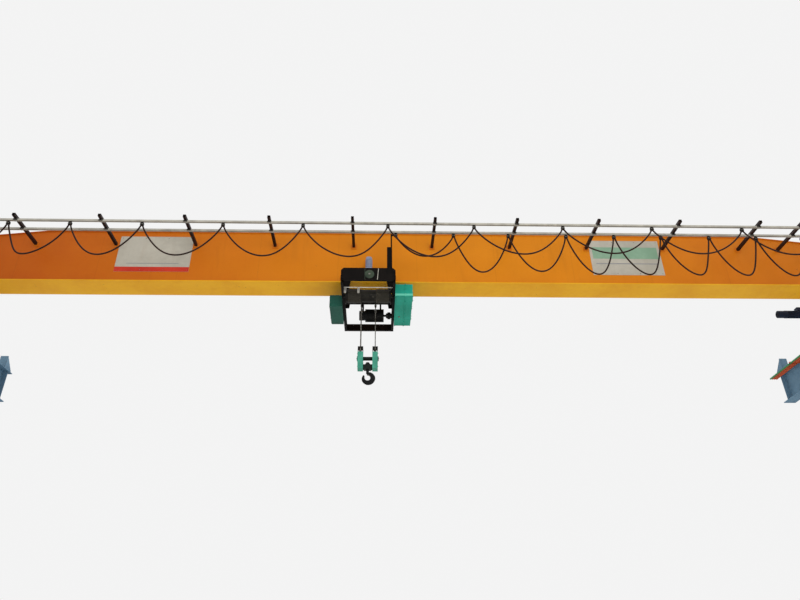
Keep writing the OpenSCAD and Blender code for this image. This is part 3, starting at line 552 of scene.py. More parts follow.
@dataclass(frozen=True)
class HookForging(Finish):
    """Black forging, rubbed to steel where slings lie."""

    bowl: tuple[float, float, float] = (0.0, 0.0, 0.0)
    radius: float = 0.046
    ragged: float = 0.012

    def look(self, t: Tree, at: Socket, up: Socket) -> Look:
        """Shows steel on the inside of the bowl, with a ragged edge.

        Args:
            t: The material's tree.
            at: Where the point is.
            up: How much the surface faces up.

        Returns:
            The black and where the steel shows.
        """
        away = t.add("ShaderNodeVectorMath", {"operation": "SUBTRACT"}, n_0=at, n_1=self.bowl)
        flat = t.add("ShaderNodeVectorMath", {"operation": "MULTIPLY"}, n_0=away.outputs[0],
                     n_1=(1.0, 0.0, 1.0))
        reach = t.add("ShaderNodeVectorMath", {"operation": "LENGTH"}, n_0=flat.outputs[0])
        uneven = t.maths("MULTIPLY", t.noise(at, 60.0, 5.0), self.ragged)
        edge = t.maths("ADD", reach.outputs["Value"], uneven)
        worn = t.maths("SUBTRACT", 1.0, t.ramp(edge, self.radius + 0.004, self.radius + 0.014))
        return Look(super().look(t, at, up).colour, None, t.maths("MULTIPLY", worn, 0.8))


@dataclass(frozen=True)
class WoundDrum(Finish):
    """Greasy drum with turns of rope on it."""

    axis: tuple[float, float, float] = (0.0, 0.0, 0.0)
    barrel: float = 0.1135
    wound: float = 0.365
    rope: Colour = (66, 62, 54)

    def look(self, t: Tree, at: Socket, up: Socket) -> Look:
        """Gives the turns the rope's colour and its strands.

        Args:
            t: The material's tree.
            at: Where the point is.
            up: How much the surface faces up.

        Returns:
            The colour and the strands' height.
        """
        away = t.add("ShaderNodeVectorMath", {"operation": "SUBTRACT"}, n_0=at, n_1=self.axis)
        x, y, z = t.split(away.outputs[0])
        squares = t.maths("ADD", t.maths("MULTIPLY", y, y), t.maths("MULTIPLY", z, z))
        radius = t.maths("SQRT", squares)
        turn = t.maths("MULTIPLY", t.maths("ARCTAN2", z, y), 8.0 / math.tau)
        strand = t.call(Effects.strands(), Along=turn, Round=t.maths("MULTIPLY", x, 36.0))
        on_rope = t.maths("MULTIPLY", t.maths("GREATER_THAN", radius, self.barrel),
                          t.maths("LESS_THAN", t.maths("ABSOLUTE", x), self.wound))
        colour = t.mix(t.maths("MULTIPLY", on_rope, t.ramp(strand, 0.1, 0.8)),
                       super().look(t, at, up).colour, linear(self.rope))
        return Look(colour, t.maths("MULTIPLY", on_rope, strand))


@dataclass(frozen=True)
class Rope(Finish):
    """Wire rope whose strands follow its own UV map: u along in metres, v round."""

    lay: float = 0.09

    def look(self, t: Tree, at: Socket, up: Socket) -> Look:
        """Rubs the strands' tops bright and leaves grease between them.

        Args:
            t: The material's tree.
            at: Where the point is.
            up: How much the surface faces up.

        Returns:
            The colour, height and bright tops.
        """
        u, v, _ = t.split(t.add("ShaderNodeUVMap", {"uv_map": "UVMap"}).outputs[0])
        strand = t.call(Effects.strands(), Along=t.maths("DIVIDE", u, self.lay), Round=v)
        worn = t.maths("MULTIPLY", t.ramp(strand, 0.55, 1.0), t.ramp(t.noise(at, 25.0), 0.35, 0.65))
        colour = t.mix(worn, linear(self.dark), linear(self.light))
        return Look(colour, strand, t.maths("MULTIPLY", worn, 0.4))


ORANGE_RUNS = (120, 58, 20)
WEB_PAINT = GirderPaint("orange girder paint", (214, 116, 18), (204, 100, 13), gloss=0.6, runs=0.1,
                        chips=0.1, run_colour=ORANGE_RUNS, depth=0.03)
FLANGE_PAINT = Finish("yellow flange paint", (234, 174, 31), (225, 160, 25), gloss=0.6, runs=0.05,
                      chips=0.12, run_colour=(140, 90, 30), depth=0.03)
CARRIAGE_PAINT = Finish("orange carriage paint", (206, 112, 18), (192, 96, 14), gloss=0.56,
                        runs=0.22, chips=0.3)
BEAM_PAINT = Finish("blue grey beam paint", (104, 136, 158), (84, 114, 137), gloss=0.45, runs=0.3,
                    chips=0.28, under=(92, 58, 42))
STOP_PAINT = Finish("blue grey stop paint", (110, 142, 164), (90, 120, 142), runs=0.3, chips=0.45)
BLACK_STOP = Finish("black stop paint", (38, 38, 38), (24, 24, 24), runs=0.1, chips=0.35)
RAIL = RailSteel("rail steel", (112, 92, 78), (88, 66, 54), gloss=0.35, runs=0.1, chips=0.0,
                 grain=90.0, depth=0.2)
CONDUCTOR = Finish("orange conductor cover", (206, 98, 60), (188, 84, 48), gloss=0.45, runs=0.1,
                   chips=0.0)
EARTH = Finish("green earth cover", (76, 142, 92), (62, 124, 78), gloss=0.45, runs=0.1, chips=0.0)
BLACK_PAINT = Finish("black frame paint", (17, 13, 11), (9, 7, 6), patch=3.0, runs=0.08, shine=0.06,
                     run_colour=(70, 62, 52), chips=0.12, under=(96, 74, 58), dust=0.35)
ARM_PAINT = ArmPaint("dark arm paint", (44, 24, 20), (28, 16, 14), gloss=0.45, patch=3.0, runs=0.1,
                     chips=0.15, shine=0.15)
TEAL_PAINT = GearPaint("teal gearbox paint", (36, 158, 134), (26, 138, 116), gloss=0.62, patch=2.5,
                       runs=0.1, chips=0.08, under=(150, 160, 150), dust=0.3)
# Painted shade: the panel gets a darkened copy of the gearbox's teal, which stands in for the shadow the
# panel sits in.
PANEL_PAINTED_SHADE = Finish("teal panel paint with painted shade", (34, 86, 72), (26, 72, 60), gloss=0.55, patch=2.5,
                     runs=0.1, chips=0.1)
COVER_PAINT = Finish("teal cover paint", (82, 162, 138), (64, 142, 120), gloss=0.58, patch=5.0,
                     runs=0.12, chips=0.3, under=(72, 60, 50))
DRIVE_PAINT = Finish("blue drive paint", (40, 54, 76), (28, 40, 58), patch=3.0, runs=0.15)
MOTOR_PAINT = Finish("lavender grey motor paint", (152, 156, 176), (128, 132, 152), patch=4.0,
                     chips=0.12)
GREEN_GREY = Finish("green grey cover paint", (62, 74, 60), (44, 54, 44), patch=6.0, chips=0.15)
BLACK_MOTOR = Finish("black motor paint", (24, 24, 23), (14, 14, 14), gloss=0.42, shine=0.12,
                     patch=4.0, runs=0.1)
BOARD = Finish("white board enamel", (190, 184, 170), (174, 168, 154), gloss=0.55, patch=1.2,
               runs=0.14, run_colour=(150, 120, 90), chips=0.04)
RED_BAND = Finish("red board band", (206, 62, 44), (190, 52, 38), gloss=0.55, runs=0.08, chips=0.05)
GREEN_BAND = Finish("green board band", (142, 174, 148), (130, 162, 136), gloss=0.55, runs=0.08,
                    chips=0.05)
GREY_LINE = Finish("grey board line", (150, 150, 150), (136, 136, 138), runs=0.08, chips=0.05)
TRACK = Finish("galvanised track", (186, 182, 170), (164, 160, 150), gloss=0.4, patch=6.0,
               chips=0.05)
ZINC = Finish("zinc plate", (168, 168, 164), (142, 143, 142), Body.METAL, 0.42, 0.5, 5.0, runs=0.2,
              run_colour=(112, 96, 80), chips=0.0, dust=0.5)
BOLT_STEEL = Finish("bolt zinc", (150, 148, 140), (118, 114, 106), Body.METAL, 0.5, 0.5, 30.0,
                    runs=0.0, chips=0.25, under=(112, 76, 50), dust=0.3)
WHEEL_STEEL = Finish("wheel steel", (118, 114, 110), (84, 78, 74), Body.METAL, 0.5, 0.5, 6.0,
                     runs=0.05, chips=0.3, under=(80, 62, 50), dust=0.3)
BRIGHT_ROD = Finish("bright rod", (226, 222, 212), (198, 194, 184), Body.METAL, 0.55, 0.5, 5.0,
                    runs=0.05, chips=0.05)
BLACK_PLASTIC = Finish("black clamp plastic", (34, 30, 28), (22, 20, 19), gloss=0.4, patch=8.0,
                       runs=0.0, chips=0.0)
RUBBER = Finish("buffer rubber", (34, 33, 32), (24, 23, 22), gloss=0.22, patch=8.0, runs=0.0,
                chips=0.0, dust=0.7)
DRUM = WoundDrum("greasy drum iron", (40, 38, 32), (22, 20, 17), gloss=0.6, patch=9.0, runs=0.1,
                 run_colour=(24, 18, 12), under=(120, 112, 100), dust=0.15, grain=90.0, depth=0.15,
                 axis=tuple(on_trolley(0.0, -0.4, -0.08)))
BLOCK_BLACK = Finish("black block paint", (30, 35, 32), (19, 22, 20), patch=6.0, runs=0.1,
                     chips=0.35, under=(104, 92, 80))
HOOK = HookForging("hook forging", (24, 24, 25), (15, 15, 16), gloss=0.42, patch=14.0, runs=0.0,
                   chips=0.3, under=(88, 70, 58), grain=120.0, depth=0.3,
                   bowl=tuple(on_trolley(0.0, BLOCK_Y, -1.525)))
ROPE = Rope("hoist rope", (150, 144, 132), (44, 40, 34), gloss=0.5, runs=0.0, dust=0.1, chips=0.0)
CABLE = Finish("festoon cable sheath", (48, 26, 18), (32, 17, 12), gloss=0.4, shine=0.15, patch=3.0,
               runs=0.0, chips=0.0, dust=0.3, grain=260.0)

NODE_FINISH: dict[str, Finish] = {
    "runway_beam_left": BEAM_PAINT, "runway_beam_right": BEAM_PAINT, "runway_rails": RAIL,
    "runway_end_stops": STOP_PAINT, "conductor_bars": CONDUCTOR, "earth_bar": EARTH,
    "girder_bottom_flange": FLANGE_PAINT, "girder_top_flange": WEB_PAINT, "girder_front_web": WEB_PAINT,
    "girder_rear_web": WEB_PAINT, "girder_end_plates": WEB_PAINT, "end_carriage_left": CARRIAGE_PAINT,
    "end_carriage_right": CARRIAGE_PAINT, "bridge_drives": DRIVE_PAINT, "carriage_buffers": RUBBER,
    "bridge_wheels_near": WHEEL_STEEL, "bridge_wheels_far": WHEEL_STEEL, "current_collector": ZINC,
    "trolley_stops": BLACK_STOP, "sign_boards": BOARD, "festoon_arms": ARM_PAINT,
    "festoon_inner_track": TRACK, "festoon_outer_track": TRACK, "festoon_clamps": BLACK_PLASTIC,
    "tow_arm": BLACK_PAINT, "trolley_frame": BLACK_PAINT, "wheel_brackets": BLACK_PAINT,
    "trolley_wheels_left": WHEEL_STEEL, "trolley_wheels_right": WHEEL_STEEL,
    "trolley_drive": MOTOR_PAINT,
    "hoist_gearbox": TEAL_PAINT, "electrical_panel": PANEL_PAINTED_SHADE, "hoist_motor": BLACK_MOTOR,
    "motor_beam": BLACK_PAINT, "rope_anchor_beam": BLACK_PAINT, "rope_guide_bar": BRIGHT_ROD,
    "rope_drum": DRUM, "block_covers": COVER_PAINT, "block_guards": BLOCK_BLACK,
    "block_axle": BLOCK_BLACK, "block_sheaves": WHEEL_STEEL, "block_crosshead": BLOCK_BLACK,
    "lifting_hook": HOOK, **{f"cable_carrier_{i}": BLACK_PLASTIC for i in range(1, 9)},
}


def mesh_object(name: str, verts: Iterable[Sequence[float]], edges: Iterable[Sequence[int]] = (),
                faces: Iterable[Sequence[int]] = ()) -> bpy.types.Object:
    """Makes an object at the origin from plain mesh data.

    Args:
        name: The object's name.
        verts: Its points.
        edges: Its loose edges.
        faces: Its faces.

    Returns:
        The new object.
    """
    mesh = bpy.data.meshes.new(name)
    mesh.from_pydata(*([tuple(item) for item in part] for part in (verts, edges, faces)))
    mesh.update()
    obj = bpy.data.objects.new(name, mesh)
    bpy.context.scene.collection.objects.link(obj)
    return obj


def lines_object(name: str, lines: Sequence[Sequence[Vector]]) -> bpy.types.Object:
    """Makes an object of plain lines, one for each row of points.

    Args:
        name: The object's name.
        lines: The rows of points.

    Returns:
        The new object.
    """
    verts: list[Vector] = []
    edges: list[tuple[int, int]] = []
    for line in lines:
        edges.extend((i, i + 1) for i in range(len(verts), len(verts) + len(line) - 1))
        verts.extend(line)
    return mesh_object(name, verts, edges)


def points_object(name: str, spots: Sequence[Spot]) -> bpy.types.Object:
    """Makes an object of points that keep the way each of them faces.

    Args:
        name: The object's name.
        spots: The points and the ways out.

    Returns:
        The new object.
    """
    obj = mesh_object(name, [p for p, _ in spots])
    facing = obj.data.attributes.new("facing", "FLOAT_VECTOR", "POINT")
    facing.data.foreach_set("vector", [c for _, way in spots for c in way])
    return obj


class Forms:
    """Small solids that the fittings are made of, gathered in one bmesh."""

    def __init__(self) -> None:
        """Starts with nothing in it."""
        self.bm = bmesh.new()

    def box(self, low: Vector, high: Vector, bevel: float = 0.0) -> "Forms":
        """Adds a box between two corners.

        Args:
            low: The lowest corner.
            high: The highest corner.
            bevel: How far its edges are rounded, or 0 for sharp ones.

        Returns:
            These forms, so that calls can follow each other.
        """
        made = bmesh.ops.create_cube(self.bm, size=1.0)["verts"]
        bmesh.ops.scale(self.bm, vec=high - low, verts=made)
        bmesh.ops.translate(self.bm, vec=(low + high) / 2, verts=made)
        if bevel > 0:
            edges = list({e for v in made for e in v.link_edges})
            bmesh.ops.bevel(self.bm, geom=edges, offset=bevel, segments=2, affect="EDGES",
                            profile=0.6)
        return self

    def lathe(self, start: Vector, way: Vector, profile: Sequence[tuple[float, float]],
              sides: int = 32) -> "Forms":
        """Turns a profile about an axis.

        Args:
            start: Where the axis starts.
            way: The axis' direction.
            profile: Radius and distance along the axis of each point. One that ends where it
                starts makes a ring.
            sides: Number of sides.

        Returns:
            These forms, so that calls can follow each other.
        """
        side = way.orthogonal().normalized()
        other = way.cross(side)
        closed = profile[0] == profile[-1]
        turns = [i * math.tau / sides for i in range(sides)]
        loops = [[self.bm.verts.new(start + d * way + r * (math.cos(a) * side + math.sin(a) * other))
                  for a in turns] for r, d in (profile[:-1] if closed else profile)]
        for a, b in [*zip(loops, loops[1:]), *([(loops[-1], loops[0])] if closed else [])]:
            for i in range(sides):
                j = (i + 1) % sides
                self.bm.faces.new((a[i], a[j], b[j], b[i]))
        if not closed:
            self.bm.faces.new(loops[0][::-1])
            self.bm.faces.new(loops[-1])
        return self

    def grille(self, start: Vector, way: Vector, radii: Sequence[float], wire: float = 0.004) -> "Forms":
        """Adds the round wires of a fan guard and the three bars that hold them.

        Args:
            start: The guard's middle, on the cowl.
            way: The way out of it.
            radii: The wires' inner radii.
            wire: How thick the wires are.

        Returns:
            These forms, so that calls can follow each other.
        """
        for r in radii:
            section = [(r, 0.0), (r + wire, 0.0), (r + wire, wire), (r, wire), (r, 0.0)]
            self.lathe(start, way, section, 36)
        side, reach = way.orthogonal().normalized(), radii[-1]
        for i in range(3):
            arm = Matrix.Rotation(i * math.pi / 3, 3, way) @ side
            self.lathe(start + wire * way - reach * arm, arm,
                       [(wire / 2, 0.0), (wire / 2, 2 * reach)], 8)
        return self

    def finish(self, name: str, finish: Finish, body: str, smooth: float = 35.0) -> bpy.types.Object:
        """Turns what was added into one piece that rides on a body.

        Args:
            name: The piece's name.
            finish: Its finish.
            body: The CAD body it rides on.
            smooth: Edges sharper than this many degrees stay sharp.

        Returns:
            The new piece.
        """
        bmesh.ops.recalc_face_normals(self.bm, faces=self.bm.faces)
        obj = mesh_object(name, ())
        self.bm.to_mesh(obj.data)
        self.bm.free()
        obj.data.shade_smooth()
        obj.data.set_sharp_from_angle(angle=math.radians(smooth))
        obj.data.materials.append(finish.material())
        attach(obj, body)
        LOG.info("%s on %s, %d faces", name, body, len(obj.data.polygons))
        return obj


class Maker:
    """A Geometry Nodes tree that turns lines or points into a finished piece."""

    def __init__(self, name: str, inputs: Inputs,
                 build: Callable[[Tree, Sequence[Socket]], Socket]) -> None:
        """Builds the tree once.

        Args:
            name: The tree's name.
            inputs: Name, type and first value of each size.
            build: Fills the tree and returns the geometry that it makes.
        """
        self.tree = bpy.data.node_groups.new(name, "GeometryNodeTree")
        self.keys: dict[str, str] = {}
        for label, kind, value in (("Geometry", "Geometry", None), *inputs,
                                   ("Material", "Material", None)):
            socket = self.tree.interface.new_socket(label, in_out="INPUT",
                                                    socket_type="NodeSocket" + kind)
            if value is not None:
                socket.default_value = value
            self.keys[label] = socket.identifier
        self.tree.interface.new_socket("Geometry", in_out="OUTPUT",
                                       socket_type="NodeSocketGeometry")
        t = Tree(self.tree)
        start = t.add("NodeGroupInput").outputs
        real = t.add("GeometryNodeRealizeInstances", Geometry=build(t, start))
        painted = t.add("GeometryNodeSetMaterial", Geometry=real.outputs[0], Material=start["Material"])
        t.add("NodeGroupOutput", None, n_0=painted.outputs[0])

    def bake(self, obj: bpy.types.Object, finish: Finish, body: Optional[str] = None,
             **values: object) -> bpy.types.Object:
        """Runs the tree on an object and keeps the plain mesh.

        Args:
            obj: The object that the tree starts from.
            finish: The piece's finish.
            body: The body it rides on, unless that is set later.
            values: The tree's inputs by name.

        Returns:
            The same object, with its result as a mesh and no modifier.
        """
        modifier = obj.modifiers.new("make", "NODES")
        modifier.node_group = self.tree
        for label, value in {**values, "Material": finish.material()}.items():
            modifier[self.keys[label]] = value
        obj.update_tag()
        bpy.context.view_layer.update()
        built = obj.evaluated_get(bpy.context.evaluated_depsgraph_get())
        result = bpy.data.meshes.new_from_object(built)
        obj.modifiers.remove(modifier)
        obj.data = result
        if body:
            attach(obj, body)
        LOG.info("%s: %d faces", obj.name, len(result.polygons))
        return obj


class Bolts(Maker):
    """Hexagon bolts with washers on points that face outward, each turned its own way."""

    def __init__(self) -> None:
        """Builds the tree once."""
        super().__init__("bolts", [("Across", "Float", 0.024), ("Height", "Float", 0.01)], self.fill)

    @staticmethod
    def fill(t: Tree, start: Sequence[Socket]) -> Socket:
        """Joins washer, head and thread, and sets them on the points.

        Args:
            t: The tree to fill.
            start: The tree's inputs.

        Returns:
            A bolt at every point.
        """
        bolt = t.add("GeometryNodeJoinGeometry")
        washer, head, thread = (20, 0.85, 0.25, 0.0), (6, 0.577, 1.0, 0.25), (12, 0.3, 0.3, 1.25)
        for sides, wide, tall, low in (washer, head, thread):
            solid = t.add("GeometryNodeMeshCylinder", Vertices=sides,
                          Depth=t.maths("MULTIPLY", start["Height"], tall),
                          Radius=t.maths("MULTIPLY", start["Across"], wide))
            lift = t.add("ShaderNodeCombineXYZ", Z=t.maths("MULTIPLY", start["Height"], low + tall / 2))
            moved = t.add("GeometryNodeTransform", Geometry=solid.outputs[0],
                          Translation=lift.outputs[0])
            t.put(bolt.inputs[0], moved.outputs[0])
        facing = t.add("GeometryNodeInputNamedAttribute", {"data_type": "FLOAT_VECTOR"},
                       Name="facing")
        turned = t.add("FunctionNodeAlignRotationToVector", {"axis": "Z"}, Vector=facing.outputs[0])
        angle = t.add("FunctionNodeRandomValue", {"data_type": "FLOAT"}, n_2=0.0, n_3=math.pi / 3,
                      Seed=7)
        spin = t.add("FunctionNodeAxisAngleToRotation", Axis=(0.0, 0.0, 1.0), Angle=angle.outputs[1])
        both = t.add("FunctionNodeRotateRotation", {"rotation_space": "LOCAL"},
                     Rotation=turned.outputs[0], Rotate_By=spin.outputs[0])
        points = t.add("GeometryNodeMeshToPoints", Mesh=start["Geometry"])
        return t.add("GeometryNodeInstanceOnPoints", Points=points.outputs[0], Instance=bolt.outputs[0],
                     Rotation=both.outputs[0]).outputs[0]

    def make(self, name: str, body: str, spots: Sequence[Spot], across: float, height: float,
             finish: Finish = BOLT_STEEL) -> bpy.types.Object:
        """Sets one bolt at each spot.

        Args:
            name: The piece's name.
            body: The body that the bolts ride on.
            spots: A point on the surface and the way out of it, for each bolt.
            across: Size across the head's flats.
            height: Height of the head.
            finish: The bolts' finish.

        Returns:
            All these bolts as one piece.
        """
        return self.bake(points_object(name, spots), finish, body, Across=across, Height=height)


class Copies(Maker):
    """Copies of one small piece on points."""

    def __init__(self) -> None:
        """Builds the tree once."""
        super().__init__("copies", [("Piece", "Object", None)], self.fill)

    @staticmethod
    def fill(t: Tree, start: Sequence[Socket]) -> Socket:
        """Sets the piece on every point.

        Args:
            t: The tree to fill.
            start: The tree's inputs.

        Returns:
            The copies.
        """
        piece = t.add("GeometryNodeObjectInfo", {"transform_space": "ORIGINAL"},
                      Object=start["Piece"])
        points = t.add("GeometryNodeMeshToPoints", Mesh=start["Geometry"])
        return t.add("GeometryNodeInstanceOnPoints", Points=points.outputs[0],
                     Instance=piece.outputs["Geometry"]).outputs[0]

    def make(self, name: str, body: str, forms: Forms, at: Sequence[Vector],
             finish: Finish) -> bpy.types.Object:
        """Puts a copy of the forms at each point.

        Args:
            name: The piece's name.
            body: The body that the copies ride on.
            forms: The solids to copy, built round the origin.
            at: Where the copies go.
            finish: Their finish.

        Returns:
            All copies as one piece.
        """
        bmesh.ops.recalc_face_normals(forms.bm, faces=forms.bm.faces)
        piece = mesh_object(name + "_one", ())
        forms.bm.to_mesh(piece.data)
        forms.bm.free()
        obj = self.bake(mesh_object(name, at), finish, body, Piece=piece)
        bpy.data.objects.remove(piece)
        return obj


class Cables(Maker):
    """Round cable along smooth lines."""

    def __init__(self) -> None:
        """Builds the tree once."""
        super().__init__("cable", [("Radius", "Float", 0.011), ("Sides", "Int", 12),
                                   ("Steps", "Int", 2)], self.fill)

    @staticmethod
    def fill(t: Tree, start: Sequence[Socket]) -> Socket:
        """Sweeps a circle along the smoothed lines.

        Args:
            t: The tree to fill.
            start: The tree's inputs.

        Returns:
            The cable's surface.
        """
        line = t.add("GeometryNodeMeshToCurve", Mesh=start["Geometry"])
        bent = t.add("GeometryNodeCurveSplineType", {"spline_type": "CATMULL_ROM"},
                     Curve=line.outputs[0])
        fine = t.add("GeometryNodeSetSplineResolution", Geometry=bent.outputs[0],
                     Resolution=start["Steps"])
        section = t.add("GeometryNodeCurvePrimitiveCircle", Resolution=start["Sides"],
                        Radius=start["Radius"])
        swept = t.add("GeometryNodeCurveToMesh", Curve=fine.outputs[0],
                      Profile_Curve=section.outputs[0], Fill_Caps=True)
        return t.add("GeometryNodeSetShadeSmooth", Geometry=swept.outputs[0]).outputs[0]

    def make(self, name: str, lines: Sequence[Sequence[Vector]], radius: float,
             finish: Finish) -> bpy.types.Object:
        """Makes one piece with a round cable along each line of points."""
        return self.bake(lines_object(name, lines), finish, Radius=radius, Sides=12, Steps=2)


class Beads(Maker):
    """Weld beads: a rippled round section along straight lines."""

    def __init__(self) -> None:
        """Builds the tree once."""
        super().__init__("weld bead", [("Radius", "Float", 0.005), ("Ripple", "Float", 0.012)],
                         self.fill)

    @staticmethod
    def fill(t: Tree, start: Sequence[Socket]) -> Socket:
        """Steps along the lines and lets the section swell at every second step.

        Args:
            t: The tree to fill.
            start: The tree's inputs.

        Returns:
            The beads.
        """
        line = t.add("GeometryNodeMeshToCurve", Mesh=start["Geometry"])
        steps = t.add("GeometryNodeResampleCurve", {"mode": "LENGTH"}, Curve=line.outputs[0],
                      Length=start["Ripple"])
        section = t.add("GeometryNodeCurvePrimitiveCircle", Resolution=6, Radius=start["Radius"])
        odd = t.maths("MODULO", t.add("GeometryNodeInputIndex").outputs[0], 2.0)
        swell = t.maths("ADD", t.maths("MULTIPLY", odd, 0.16), 0.92)
        rough = t.add("FunctionNodeRandomValue", {"data_type": "FLOAT"}, n_2=0.88, n_3=1.06, Seed=3)
        size = t.maths("MULTIPLY", swell, rough.outputs[1])
        return t.add("GeometryNodeCurveToMesh", Curve=steps.outputs[0],
                     Profile_Curve=section.outputs[0], Scale=size, Fill_Caps=True).outputs[0]

    def make(self, name: str, body: str, lines: Sequence[Sequence[Vector]], radius: float,
             ripple: float, finish: Finish) -> bpy.types.Object:
        """Lays one bead along each line."""
        return self.bake(lines_object(name, lines), finish, body, Radius=radius, Ripple=ripple)


@dataclass
class Kit:
    """The makers that the sub-assemblies share."""

    bolts: Bolts
    copies: Copies
    cables: Cables
    beads: Beads


def ring(centre: Vector, way: Vector, radius: float, count: int, start: float = 0.0) -> list[Spot]:
    """Finds spots on a circle about an axis.

    Args:
        centre: The circle's middle, on the surface.
        way: The way out of the surface.
        radius: The circle's radius.
        count: Number of spots.
        start: Angle of the first one.

    Returns:
        The spots.
    """
    side = UP if abs(way.z) < 0.5 else RIGHT
    other = way.cross(side)
    return [(centre + radius * (math.cos(a) * side + math.sin(a) * other), way)
            for a in (start + i * math.tau / count for i in range(count))]


def spots_at(way: Vector, points: Iterable[Vector]) -> list[Spot]:
    """Gives every point the same way out."""
    return [(p, way) for p in points]


ARMS = (*(-0.24 + (i - 5.5) * 1.46 for i in range(12)), 7.10)
TRACKS = (-0.70, -0.96)
INNER_CLAMPS = (0.84, 1.835, 2.885, 3.765, 4.63, 5.52, 6.39, 7.25)
OUTER_CLAMPS = (-7.99, -6.92, -5.865, -4.63, -3.23, -1.835, -0.345, 1.18, 2.765, 4.37, 6.005,
                7.64)


@dataclass
class Festoon:
    """The two festoon lines: cables, clamp screws and the track's brackets."""

    kit: Kit
    clamp_z: float = 0.985
    reach: float = 0.015
    radius: float = 0.014
    inner_low: float = 0.22
    outer_low: float = 0.375
    tow: float = -0.20
    end: float = 8.2
    screw_face: float = 0.018
    screw_z: float = 1.0125
    screw_x: float = 0.014
    bracket_top: float = 1.10
    bracket_bolt: tuple[float, float, float] = (0.018, -0.028, -0.017)
    outer_lift: Sequence[float] = (0, 0, 0, 0, 0, 0, 0.01, 0.08, 0.11, 0.12, 0.12)
    outer_lean: Sequence[float] = (-0.05, -0.12, -0.02, -0.02, 0.03, 0.05, 0.03, 0.03, 0.02, -0.01,
                                   0)
    inner_lift: Sequence[float] = (0.35, 0.025, 0.05, 0, 0, 0, 0, 0, 0)
    inner_lean: Sequence[float] = (0, -0.02, 0, 0.05, 0.09, 0.11, 0.09, 0.08, 0.05)
    steps: int = 40

    def loop(self, x0: float, x1: float, y: float, low: float, lean: float) -> list[Vector]:
        """One hanging loop between two clamps.

        Args:
            x0: Where it starts.
            x1: Where it ends.
            y: The track's place.
            low: The loop's lowest height.
            lean: How far the low point lies to the right, as a part of the loop's width.

        Returns:
            The points of the cable's middle line.
        """
        points = []
        for i in range(self.steps + 1):
            s = i / self.steps
            hang = 4 * s * (1 - s)
            hang = 0.8 * hang + 0.2 * hang ** 0.6
            across = s + lean * math.sin(math.pi * s) ** 2
            z = self.clamp_z - (self.clamp_z - low) * hang
            points.append(place(x0 + (x1 - x0) * across, y, z))
        return points

    def outer_line(self) -> None:
        """Makes the outer cable in one piece."""
        r = self.reach
        spans = zip(OUTER_CLAMPS, OUTER_CLAMPS[1:], self.outer_lift, self.outer_lean)
        loops = [self.loop(a + r, b - r, TRACKS[1], self.outer_low + lift, lean)
                 for a, b, lift, lean in spans]
        cable = self.kit.cables.make("outer_festoon_cable", loops, self.radius, CABLE)
        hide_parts("outer_cable")
        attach(cable, "bridge")

    def inner_line(self) -> None:
        """Makes each inner loop as its own piece, held between the clamps that move apart."""
        ends = [self.tow, *INNER_CLAMPS, self.end]
        for i, (a, b) in enumerate(zip(ends, ends[1:])):
            x0, x1 = a + self.reach, b - self.reach
            low = self.inner_low + self.inner_lift[i]
            line = self.loop(x0, x1, TRACKS[0], low, self.inner_lean[i])
            piece = self.kit.cables.make(f"inner_festoon_loop_{i + 1}", [line], self.radius, CABLE)
            if i == 0:
                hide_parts("inner_cable")
            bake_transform(piece)

    def clamp_screws(self) -> None:
        """Two screws in the face of every clamp."""
        groups = [("outer_clamp_screws", "bridge", OUTER_CLAMPS, TRACKS[1]),
                  ("inner_end_screws", "bridge", (self.end,), TRACKS[0]),
                  ("tow_clamp_screws", "trolley", (self.tow,), TRACKS[0]),
                  *((f"carrier_{i}_screws", f"carrier_{i}", (x,), TRACKS[0])
                    for i, x in enumerate(INNER_CLAMPS, 1))]
        for name, body, xs, y in groups:
            points = [place(x + d, y - self.screw_face, self.screw_z)
                      for x in xs for d in (-self.screw_x, self.screw_x)]
            self.kit.bolts.make(name, body, spots_at(FRONT, points), across=0.010, height=0.005)

    def brackets(self) -> None:
        """Cheeks that hold both tracks under every arm."""
        cheeks = Forms()
        for side in (-1, 1):
            low, high = sorted((side * 0.020, side * 0.028))
            cheeks.box(Vector((-0.035, low, -0.034)), Vector((0.035, high, 0.0)), 0.002)
        at = [place(x, y, self.bracket_top) for x in ARMS for y in TRACKS]
        self.kit.copies.make("track_brackets", "bridge", cheeks, at, BLACK_PLASTIC)
        x, y, z = self.bracket_bolt
        nuts = [p + Vector((d, y, z)) for p in at for d in (-x, x)]
        self.kit.bolts.make("track_bracket_bolts", "bridge", spots_at(FRONT, nuts), across=0.010,
                            height=0.005)

    def build(self) -> None:
        """Makes cables, screws and brackets."""
        self.outer_line()
        self.inner_line()
        self.clamp_screws()
        self.brackets()


